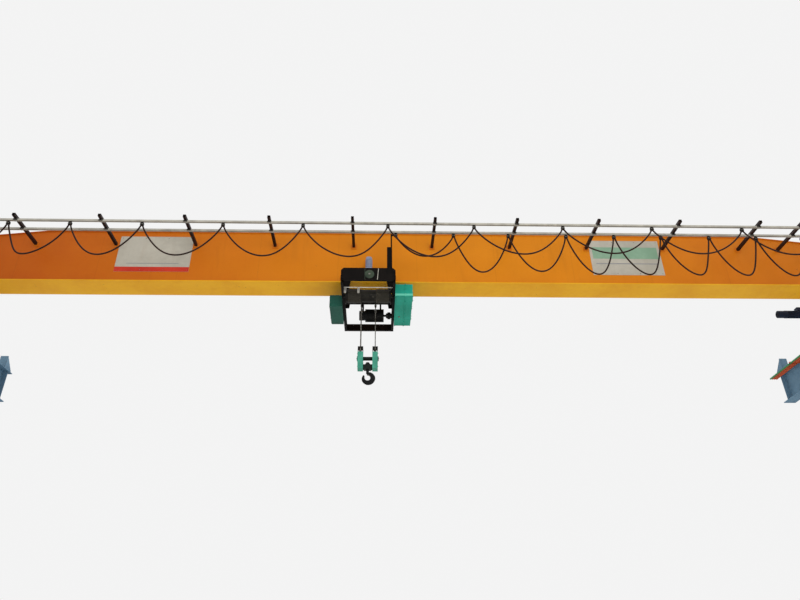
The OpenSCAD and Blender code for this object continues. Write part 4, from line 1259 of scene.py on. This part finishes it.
@dataclass
class HoistRopes:
    """The four falls between drum, block sheaves and anchors."""

    kit: Kit
    fall_x: float = 0.125
    fall_y: float = -0.2797
    dead_y: float = -0.0097
    radius: float = 0.007
    drum_z: float = -0.08
    anchor_z: float = -0.09
    sides: int = 14
    steps: int = 24
    grip_z: Sequence[float] = (-0.14, -0.185)
    grip_half: tuple[float, float, float] = (0.013, 0.015, 0.010)

    def fall(self, x: float, y: float, z0: float, z1: float) -> list[Vector]:
        """Steps along a straight fall from one height to another."""
        return [on_trolley(x, y, z0 + (z1 - z0) * i / self.steps) for i in range(self.steps + 1)]

    def path(self, x: float) -> list[Vector]:
        """Finds the way from the drum down, round the sheave and up to the anchor.

        Args:
            x: Where the fall hangs, from the trolley's middle.

        Returns:
            The points of the rope's middle line.
        """
        r = (self.dead_y - self.fall_y) / 2
        under = [on_trolley(x, BLOCK_Y - r * math.cos(a), AXLE_Z - r * math.sin(a))
                 for a in (math.pi * i / self.steps for i in range(1, self.steps))]
        return [*self.fall(x, self.fall_y, self.drum_z, AXLE_Z), *under,
                *self.fall(x, self.dead_y, AXLE_Z, self.anchor_z)]

    def tube(self, name: str, lines: Sequence[Sequence[Vector]]) -> bpy.types.Object:
        """Sweeps a round section along lines, with u in metres along it and v round it.

        Args:
            name: The piece's name.
            lines: The points of each middle line.

        Returns:
            The piece, in the rope's finish.
        """
        verts: list[Vector] = []
        faces: list[tuple[int, ...]] = []
        uvs: list[tuple[float, float]] = []
        n = self.sides
        for line in lines:
            base, length, lengths = len(verts), 0.0, []
            for i, p in enumerate(line):
                along = (line[min(i + 1, len(line) - 1)] - line[max(i - 1, 0)]).normalized()
                across = along.cross(RIGHT).normalized()
                length += (p - line[i - 1]).length if i else 0.0
                lengths.append(length)
                verts.extend(p + self.radius * (math.cos(a) * RIGHT + math.sin(a) * across)
                             for a in (j * math.tau / n for j in range(n)))
            for i in range(len(line) - 1):
                for j in range(n):
                    k = (j + 1) % n
                    row, ahead = base + i * n, base + (i + 1) * n
                    faces.append((row + j, row + k, ahead + k, ahead + j))
                    uvs.extend(((lengths[i], j / n), (lengths[i], (j + 1) / n),
                                (lengths[i + 1], (j + 1) / n), (lengths[i + 1], j / n)))
        obj = mesh_object(name, verts, (), faces)
        layer = obj.data.uv_layers.new(name="UVMap")
        for item, uv in zip(layer.data, uvs):
            item.uv = uv
        bm = bmesh.new()
        bm.from_mesh(obj.data)
        bmesh.ops.holes_fill(bm, edges=[e for e in bm.edges if e.is_boundary])
        bmesh.ops.recalc_face_normals(bm, faces=bm.faces)
        bm.to_mesh(obj.data)
        bm.free()
        obj.data.shade_smooth()
        obj.data.set_sharp_from_angle(angle=math.radians(50))
        obj.data.materials.append(ROPE.material())
        return obj

    def grips(self) -> None:
        """Two rope grips on each dead end, below its anchor."""
        forms = Forms()
        nuts = []
        half = Vector(self.grip_half)
        for x in (-self.fall_x, self.fall_x):
            for z in self.grip_z:
                middle = on_trolley(x, self.dead_y, z)
                forms.box(middle - half, middle + half, 0.004)
                nuts += [middle + Vector((d, -half.y, 0)) for d in (-0.008, 0.008)]
        forms.finish("rope_grips", ZINC, "trolley")
        self.kit.bolts.make("rope_grip_nuts", "trolley", spots_at(FRONT, nuts), across=0.009,
                            height=0.005)

    def build(self) -> None:
        """Makes both ropes as one piece in place of the CAD ropes, and the grips on their dead ends."""
        falls = self.tube("hoist_rope_falls", [self.path(-self.fall_x), self.path(self.fall_x)])
        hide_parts("hoist_ropes")
        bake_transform(falls)
        LOG.info("hoist_rope_falls blended between trolley and hook_block")
        self.grips()


@dataclass
class Fasteners:
    """Bolts of the girder joints, housings, covers and rails."""

    bolts: Bolts
    stop_y: float = 2.87
    stop_top: float = -0.04
    saddle_y: float = 0.212
    saddle_top: float = 0.316
    bearing_face: float = 0.145
    bearing_circle: float = 0.06
    foot_face: float = -0.181
    foot_x: float = 0.039
    foot_z: Sequence[float] = (1.084, 1.166)
    board_x: Sequence[float] = (-4.62, 4.14)
    board_z: Sequence[float] = (0.575, 1.275)
    caps: Sequence[tuple[float, float]] = ((-0.4, 0.19), (-0.06, 0.12), (0.3, 0.15))
    cap_face: float = 0.775
    seam_x: float = 0.64
    seam_low: float = -0.221
    corner_x: float = 0.443
    corner_y: float = 0.89
    case_x: float = 0.39
    case_z: float = 0.3963
    cover_face: float = 0.171
    cover_circle: float = 0.142
    cover_top: float = -1.12
    keeper_face: float = 0.183
    keeper_circle: float = 0.034

    def runway(self) -> None:
        """Bolts in the feet of the rails' end stops."""
        feet = [place(side * RAIL_X + a, end * self.stop_y + b, self.stop_top)
                for side in (-1, 1) for end in (-1, 1) for a in (-0.05, 0.05) for b in (-0.06, 0.04)]
        self.bolts.make("stop_bolts", "runway", spots_at(UP, feet), across=0.022, height=0.010)

    def bearings(self) -> list[Spot]:
        """Finds the bolts of the wheel bearings, where no drive covers them.

        Returns:
            Where the bolts go and which way they face.
        """
        faces = [(side, y, face) for side in (-1, 1) for y in (-WHEEL_Y, WHEEL_Y) for face in (-1, 1)
                 if face == side or y != side * WHEEL_Y]
        return [spot for side, y, face in faces
                for spot in ring(place(side * RAIL_X + face * self.bearing_face, y, WHEEL_Z),
                                 RIGHT * face, self.bearing_circle, 6, 0.5)]

    def bridge(self) -> None:
        """Bolts of the saddles, bearing housings, arm feet and boards."""
        saddles = [place(side * RAIL_X + a, b, self.saddle_top) for side in (-1, 1)
                   for a in (-0.09, -0.03, 0.03, 0.09) for b in (-self.saddle_y, self.saddle_y)]
        self.bolts.make("saddle_bolts", "bridge", spots_at(UP, saddles), across=0.024,
                        height=0.012, finish=CARRIAGE_PAINT)
        self.bolts.make("bearing_bolts", "bridge", self.bearings(), across=0.016, height=0.007)
        feet = [place(x + a, self.foot_face, z) for x in ARMS for a in (-self.foot_x, self.foot_x)
                for z in self.foot_z]
        self.bolts.make("arm_foot_bolts", "bridge", spots_at(FRONT, feet), across=0.011,
                        height=0.005, finish=WEB_PAINT)
        boards = [place(x + a, WEB_FACE, z) for x in self.board_x
                  for a in (-0.63, -0.21, 0.21, 0.63) for z in self.board_z]
        self.bolts.make("board_screws", "bridge", spots_at(FRONT, boards), across=0.010,
                        height=0.004)

    def gearbox(self) -> None:
        """Bolts of the gearbox's caps and seam."""
        caps = [spot for y, d in self.caps
                for spot in ring(on_trolley(self.cap_face, y, -0.085), RIGHT, d / 2 - 0.013, 6)]
        self.bolts.make("gearbox_cap_bolts", "trolley", caps, across=0.013, height=0.006)
        seam: list[Spot] = []
        for z in (-0.17, -0.09, -0.01):
            seam += [(on_trolley(self.seam_x, -0.658, z), FRONT),
                     (on_trolley(self.seam_x, 0.478, z), BACK)]
        seam += spots_at(DOWN, [on_trolley(self.seam_x, -0.6 + 0.145 * i, self.seam_low)
                                for i in range(8)])
        self.bolts.make("gearbox_seam_bolts", "trolley", seam, across=0.013, height=0.006,
                        finish=TEAL_PAINT)

    def frame_and_cases(self) -> None:
        """Bolts of the trolley frame's corners and of the wheel cases."""
        corners: list[Spot] = []
        cases: list[Spot] = []
        for side in (-1, 1):
            x = side * self.corner_x
            corners += spots_at(FRONT, [on_trolley(x, -self.corner_y, z) for z in (-0.03, 0.035, 0.10)])
            corners += spots_at(BACK, [on_trolley(x, self.corner_y, z) for z in (-0.075, 0.025)])
            x = side * self.case_x
            cases += ring(on_trolley(x, -0.350, self.case_z), FRONT, 0.05, 6)
            cases += ring(on_trolley(x, 0.306, self.case_z), BACK, 0.035, 4, 0.4)
        self.bolts.make("frame_bolts", "trolley", corners, across=0.018, height=0.008,
                        finish=BLACK_PAINT)
        self.bolts.make("wheel_case_bolts", "trolley", cases, across=0.012, height=0.005)

    def block(self) -> None:
        """Screws of the block's covers and of the keepers on its axle."""
        covers: list[Spot] = []
        keepers: list[Spot] = []
        for s in (-1, 1):
            way = RIGHT * s
            middle = on_trolley(s * self.cover_face, BLOCK_Y, AXLE_Z)
            covers += [spot for spot in ring(middle, way, self.cover_circle, 7, 2.2)
                       if spot[0].z - CRANE.z < self.cover_top]
            keepers += ring(on_trolley(s * self.keeper_face, BLOCK_Y, AXLE_Z), way,
                            self.keeper_circle, 4, 0.78)
        self.bolts.make("cover_screws", "hook_block", covers, across=0.012, height=0.005)
        self.bolts.make("axle_keeper_screws", "hook_block", keepers, across=0.008, height=0.003)

    def build(self) -> None:
        """Makes the bolts of every body."""
        self.runway()
        self.bridge()
        self.gearbox()
        self.frame_and_cases()
        self.block()


@dataclass
class Welds:
    """Weld beads along the girder, the rails and the trolley's corners."""

    beads: Beads
    web: float = 0.175
    low_z: float = 0.318
    top: Sequence[tuple[float, float]] = ((-8.68, 1.16), (-6.6, 1.408), (6.6, 1.408), (8.68, 1.16))
    rail_foot: tuple[float, float] = (0.031, -0.059)
    stitch: float = 0.1
    stitches: Sequence[float] = tuple(-2.85 + 0.3 * i for i in range(19))
    corner: tuple[float, float] = (0.465, 0.879)

    def build(self) -> None:
        """Makes the beads of every body."""
        girder = []
        for y in (-self.web, self.web):
            girder.append([place(x, y, self.low_z) for x in (self.top[0][0], self.top[-1][0])])
            girder.append([place(x, y, z) for x, z in self.top])
        self.beads.make("girder_welds", "bridge", girder, 0.0055, 0.014, WEB_PAINT)
        half, z = self.rail_foot
        rails = [[place(x + side * half, y + d, z) for d in (0.0, self.stitch)]
                 for x in (-RAIL_X, RAIL_X) for side in (-1, 1) for y in self.stitches]
        self.beads.make("rail_welds", "runway", rails, 0.004, 0.008, RAIL)
        x, y = self.corner
        corners = [[on_trolley(a, b, z) for z in (-0.05, 0.045)] for a in (-x, x) for b in (-y, y)]
        self.beads.make("frame_welds", "trolley", corners, 0.004, 0.008, BLACK_PAINT)


@dataclass
class Boards:
    """Plain colour bands on the bare boards."""

    lift: float = 0.0012

    def build(self) -> None:
        """A red band and a rule on the left board, a green band and a rule on the right one."""
        for name, x0, x1, z0, z1, finish in (
                ("left_board_band", -5.289, -3.951, 0.541, 0.64, RED_BAND),
                ("left_board_rule", -5.1, -4.15, 0.71, 0.722, GREY_LINE),
                ("right_board_band", 3.52, 4.76, 0.90, 1.16, GREEN_BAND),
                ("right_board_rule", 3.56, 4.72, 0.78, 0.80, GREY_LINE)):
            low, high = place(x0, WEB_FACE - self.lift, z0), place(x1, WEB_FACE, z1)
            Forms().box(low, high).finish(name, finish, "bridge")


@dataclass
class RunwayFittings:
    """Clips that hold the conductor bars to their brackets."""

    copies: Copies
    first_bar: float = 8.345
    pitch: float = 0.045
    bar_z: float = -0.15
    bracket_y: Sequence[float] = (-2.1375, -0.7125, 0.7125, 2.1375)

    def build(self) -> None:
        """Makes the clips."""
        clip = Forms()
        for side in (-1, 1):
            low, high = sorted((side * 0.010, side * 0.013))
            clip.box(Vector((low, -0.016, -0.018)), Vector((high, 0.016, 0.0)))
        at = [place(self.first_bar - self.pitch * i, y, self.bar_z)
              for i in range(4) for y in self.bracket_y]
        self.copies.make("conductor_clips", "runway", clip, at, BLACK_PLASTIC)


@dataclass
class BridgeFittings:
    """What the drives and the collector carry."""

    bolts: Bolts
    box_x: tuple[float, float] = (8.052, 8.178)
    box_half: float = 0.053
    box_z: tuple[float, float] = (0.6303, 0.640)
    fan_x: float = 7.645
    fan_z: float = 0.4953
    fan_wires: Sequence[float] = (0.022, 0.042, 0.062)
    case_x: float = 8.235
    case_circle: float = 0.085
    plug: tuple[float, float] = (8.295, 0.0203)
    shoe: tuple[float, float, float] = (8.345, 0.40, -0.235)
    shoe_pitch: float = 0.045

    def drive(self, side: int) -> None:
        """Lid, fan guard, case bolts and drain plug of one bridge drive.

        Args:
            side: 1 for the right drive, on a rear wheel, and -1 for the left, on a front one.
        """
        name = "right" if side > 0 else "left"
        y = side * WHEEL_Y
        x0, x1 = sorted(side * x for x in self.box_x)
        z0, z1 = self.box_z
        Forms().box(place(x0, y - self.box_half, z0), place(x1, y + self.box_half, z1), 0.003).finish(
            f"{name}_drive_lid", DRIVE_PAINT, "bridge")
        lid = [place(x, y + d, z1) for x in (x0 + 0.012, x1 - 0.012) for d in (-0.042, 0.042)]
        self.bolts.make(f"{name}_lid_screws", "bridge", spots_at(UP, lid), across=0.008, height=0.003)
        inward = LEFT * side
        Forms().grille(place(side * self.fan_x, y, self.fan_z), inward, self.fan_wires).finish(
            f"{name}_fan_guard", BLACK_PLASTIC, "bridge")
        case = ring(place(side * self.case_x, y, WHEEL_Z), inward, self.case_circle, 6, 0.5)
        case.append((place(side * self.plug[0], y, self.plug[1]), DOWN))
        self.bolts.make(f"{name}_case_bolts", "bridge", case, across=0.013, height=0.006)

    def build(self) -> None:
        """Makes the pieces of both drives and the collector's nuts."""
        self.drive(1)
        self.drive(-1)
        x, y, z = self.shoe
        nuts = [place(x - self.shoe_pitch * i, y, z) for i in range(4)]
        self.bolts.make("collector_nuts", "bridge", spots_at(DOWN, nuts), across=0.013, height=0.006)


@dataclass
class TrolleyFittings:
    """Covers, guards and small hardware of the trolley."""

    bolts: Bolts
    plate_y: float = -0.89
    cover: tuple[float, float] = (0.02, 0.06)
    cover_thick: float = 0.014
    strip_thick: float = 0.0015
    strip_half: float = 0.005
    strip_z: tuple[float, float] = (-0.045, 0.18)
    lean: float = 0.018
    cap: tuple[float, float] = (-0.4, 0.718)
    fan_wires: Sequence[float] = (0.022, 0.042, 0.062, 0.080)
    eye_x: float = 0.56
    eye_y: Sequence[float] = (-0.45, 0.3)
    gear_top: float = 0.027
    gear_low: float = -0.213
    lock_y: Sequence[float] = (-0.08, 0.335)

    def front(self) -> None:
        """Round cover and pale strips on the front plate."""
        x, z = self.cover
        Forms().lathe(on_trolley(x, self.plate_y, z), FRONT,
                      [(0.082, 0), (0.082, 0.006), (0.074, 0.012), (0.05, self.cover_thick)],
                      40).finish("round_cover", GREEN_GREY, "trolley")
        nut = on_trolley(x, self.plate_y - self.cover_thick, z)
        self.bolts.make("round_cover_nut", "trolley", [(nut, FRONT)], across=0.02, height=0.008)
        z0, z1 = self.strip_z
        for name, x, slant, finish in (("left_front_strip", -0.057, 0.0, GREEN_GREY),
                                       ("right_front_strip", 0.165, self.lean, TRACK)):
            strip = Forms().box(on_trolley(x - self.strip_half, self.plate_y - self.strip_thick, z0),
                                on_trolley(x + self.strip_half, self.plate_y, z1))
            for vert in strip.bm.verts:
                vert.co.x += slant * (vert.co.z - CRANE.z - (z0 + z1) / 2) / (z1 - z0)
            strip.finish(name, finish, "trolley")

    def motors(self) -> None:
        """Cap of the travel motor, box and fan guard of the hoist motor, brake nuts."""
        Forms().lathe(on_trolley(0.0, *self.cap), UP, [(0.034, 0), (0.034, 0.008), (0.026, 0.013)],
                      28).finish("travel_motor_cap", BLACK_PLASTIC, "trolley")
        box = Forms().box(on_trolley(-0.06, 0.36, -0.01), on_trolley(0.06, 0.425, 0.052), 0.004)
        box.box(on_trolley(-0.064, 0.356, 0.052), on_trolley(0.064, 0.429, 0.060), 0.002)
        box.finish("hoist_motor_box", BLACK_MOTOR, "trolley")
        Forms().grille(on_trolley(-0.17, *HOIST_MOTOR), LEFT, self.fan_wires).finish(
            "hoist_fan_guard", BLACK_PLASTIC, "trolley")
        nuts = ring(on_trolley(0.345, *HOIST_MOTOR), LEFT, 0.053, 6)
        self.bolts.make("brake_nuts", "trolley", nuts, across=0.012, height=0.006)

    def gearbox(self) -> None:
        """Plugs, level glass and lifting eyes."""
        plugs = [(on_trolley(0.55, 0.1, self.gear_low), DOWN),
                 (on_trolley(self.eye_x, 0.05, self.gear_top), UP)]
        self.bolts.make("gearbox_plugs", "trolley", plugs, across=0.02, height=0.012)
        Forms().lathe(on_trolley(0.56, 0.47, -0.13), BACK,
                      [(0.018, 0), (0.018, 0.008), (0.013, 0.010), (0.011, 0.006)],
                      24).finish("oil_level_glass", ZINC, "trolley")
        eyes = Forms()
        section = [(0.018 + 0.005 * math.cos(a), 0.005 * math.sin(a))
                   for a in (i * math.tau / 8 for i in range(8))]
        for y in self.eye_y:
            foot = on_trolley(self.eye_x, y, self.gear_top)
            eyes.lathe(foot, UP, [(0.016, 0), (0.016, 0.006), (0.008, 0.012)], 20)
            eyes.lathe(foot + 0.032 * UP, RIGHT, [*section, section[0]], 24)
        eyes.finish("gearbox_lifting_eyes", TEAL_PAINT, "trolley")

    def panel(self) -> None:
        """Two locks on the panel's door."""
        locks = Forms()
        for y in self.lock_y:
            locks.lathe(on_trolley(-0.691, y, -0.12), LEFT,
                        [(0.014, 0), (0.014, 0.004), (0.009, 0.006), (0.009, 0.012)], 24)
        locks.finish("panel_locks", ZINC, "trolley")

    def build(self) -> None:
        """Makes the pieces."""
        self.front()
        self.motors()
        self.gearbox()
        self.panel()


@dataclass
class BlockFittings:
    """Grease nipples of the sheaves' axle and the lock of the hook's nut."""

    axle_end: float = 0.185
    nut_z: float = -1.2467
    lock: tuple[float, float, float] = (0.026, 0.008, 0.004)

    def build(self) -> None:
        """Makes the pieces."""
        nipples = Forms()
        for s in (-1, 1):
            nipples.lathe(on_trolley(s * self.axle_end, BLOCK_Y, AXLE_Z), RIGHT * s,
                          [(0.006, 0), (0.006, 0.004), (0.003, 0.006), (0.004, 0.010), (0.002, 0.013)],
                          14)
        nipples.finish("grease_nipples", ZINC, "hook_block")
        x, y, tall = self.lock
        low = on_trolley(-x, BLOCK_Y - y, self.nut_z)
        high = on_trolley(x, BLOCK_Y + y, self.nut_z + tall)
        Forms().box(low, high, 0.001).finish("hook_nut_lock", ZINC, "hook")


@dataclass
class Studio:
    """Floor, lamps, world and camera."""

    eye: tuple[float, float, float] = (-0.51, -10.502, -6.08)
    yaw: float = 2.17
    pitch: float = 30.37
    roll: float = -0.74
    focal_px: float = 670.0
    photo_width: float = 800.0
    sensor: float = 36.0
    floor_half: float = 60.0
    light: float = 0.88
    backdrop: float = 0.9

    def floor(self) -> None:
        """A plain pale floor where the hall's floor is."""
        size = self.floor_half
        corners = [(CRANE.x + a * size, b * size, FLOOR_Z)
                   for a, b in ((-1, -1), (1, -1), (1, 1), (-1, 1))]
        obj = mesh_object("studio_floor", corners, (), [(0, 1, 2, 3)])
        mat = bpy.data.materials.new("pale floor")
        mat.use_nodes = True
        shader = mat.node_tree.nodes["Principled BSDF"]
        shader.inputs["Base Color"].default_value = (0.8, 0.8, 0.79, 1)
        shader.inputs["Roughness"].default_value = 0.9
        obj.data.materials.append(mat)

    def world(self) -> None:
        """A plain white surround that reads as a pale background."""
        world = bpy.data.worlds.new("studio")
        bpy.context.scene.world = world
        world.use_nodes = True
        world.node_tree.nodes.clear()
        t = Tree(world.node_tree)
        path = t.add("ShaderNodeLightPath").outputs
        seen = t.maths("MAXIMUM", path["Is Camera Ray"],
                       t.maths("MAXIMUM", path["Is Glossy Ray"], path["Is Transmission Ray"]))
        strength = t.add("ShaderNodeMapRange", Value=seen, To_Min=self.light, To_Max=self.backdrop)
        back = t.add("ShaderNodeBackground", Color=(1, 1, 1, 1), Strength=strength.outputs[0])
        t.add("ShaderNodeOutputWorld", None, n_0=back.outputs[0])

    def lamp(self, name: str, where: Vector, at: Vector, size: float, power: float) -> None:
        """Hangs a soft square lamp that points at a place.

        Args:
            name: The lamp's name.
            where: Where it hangs.
            at: What it points at.
            size: Length of its side.
            power: Its power in watts.
        """
        data = bpy.data.lights.new(name, "AREA")
        data.size = size
        data.energy = power
        obj = bpy.data.objects.new(name, data)
        obj.location = where
        obj.rotation_euler = (at - where).to_track_quat("-Z", "Y").to_euler()
        bpy.context.scene.collection.objects.link(obj)

    def camera(self) -> None:
        """The photograph's camera: low in front of the crane, looking up."""
        data = bpy.data.cameras.new("camera")
        data.sensor_width = self.sensor
        data.lens = self.focal_px * self.sensor / self.photo_width
        data.clip_end = 200.0
        obj = bpy.data.objects.new("camera", data)
        yaw, pitch, roll = (math.radians(a) for a in (self.yaw, self.pitch, self.roll))
        level = Vector((math.sin(yaw), math.cos(yaw), 0.0))
        ahead = math.cos(pitch) * level + math.sin(pitch) * UP
        right = Vector((math.cos(yaw), -math.sin(yaw), 0.0))
        up = right.cross(ahead)
        r = right * math.cos(roll) + up * math.sin(roll)
        u = up * math.cos(roll) - right * math.sin(roll)
        matrix = Matrix((r, u, -ahead)).transposed().to_4x4()
        matrix.translation = place(*self.eye)
        obj.matrix_world = matrix
        bpy.context.scene.collection.objects.link(obj)
        bpy.context.scene.camera = obj

    def build(self) -> None:
        """Sets the stage."""
        self.floor()
        self.world()
        girder = place(0, 0, 0.6)
        self.lamp("front lamp", place(3.0, -12.0, -1.0), girder, size=6.0, power=440.0)
        self.lamp("top lamp", place(4.0, 5.0, 8.0), girder, size=8.0, power=250.0)
        self.camera()
        bpy.context.scene.view_settings.view_transform = "Standard"


def dress_nodes() -> None:
    """Gives every CAD node that is shown its finish."""
    for name, finish in NODE_FINISH.items():
        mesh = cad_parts[name].data
        mesh.materials.clear()
        mesh.materials.append(finish.material())
        LOG.info("%s: %s", name, finish.name)


def main() -> None:
    """Builds the crane's looks in order."""
    Studio().build()
    dress_nodes()
    kit = Kit(Bolts(), Copies(), Cables(), Beads())
    Festoon(kit).build()
    HoistRopes(kit).build()
    Fasteners(kit.bolts).build()
    Welds(kit.beads).build()
    Boards().build()
    RunwayFittings(kit.copies).build()
    BridgeFittings(kit.bolts).build()
    TrolleyFittings(kit.bolts).build()
    BlockFittings().build()


if __name__ == "__main__":
    main()
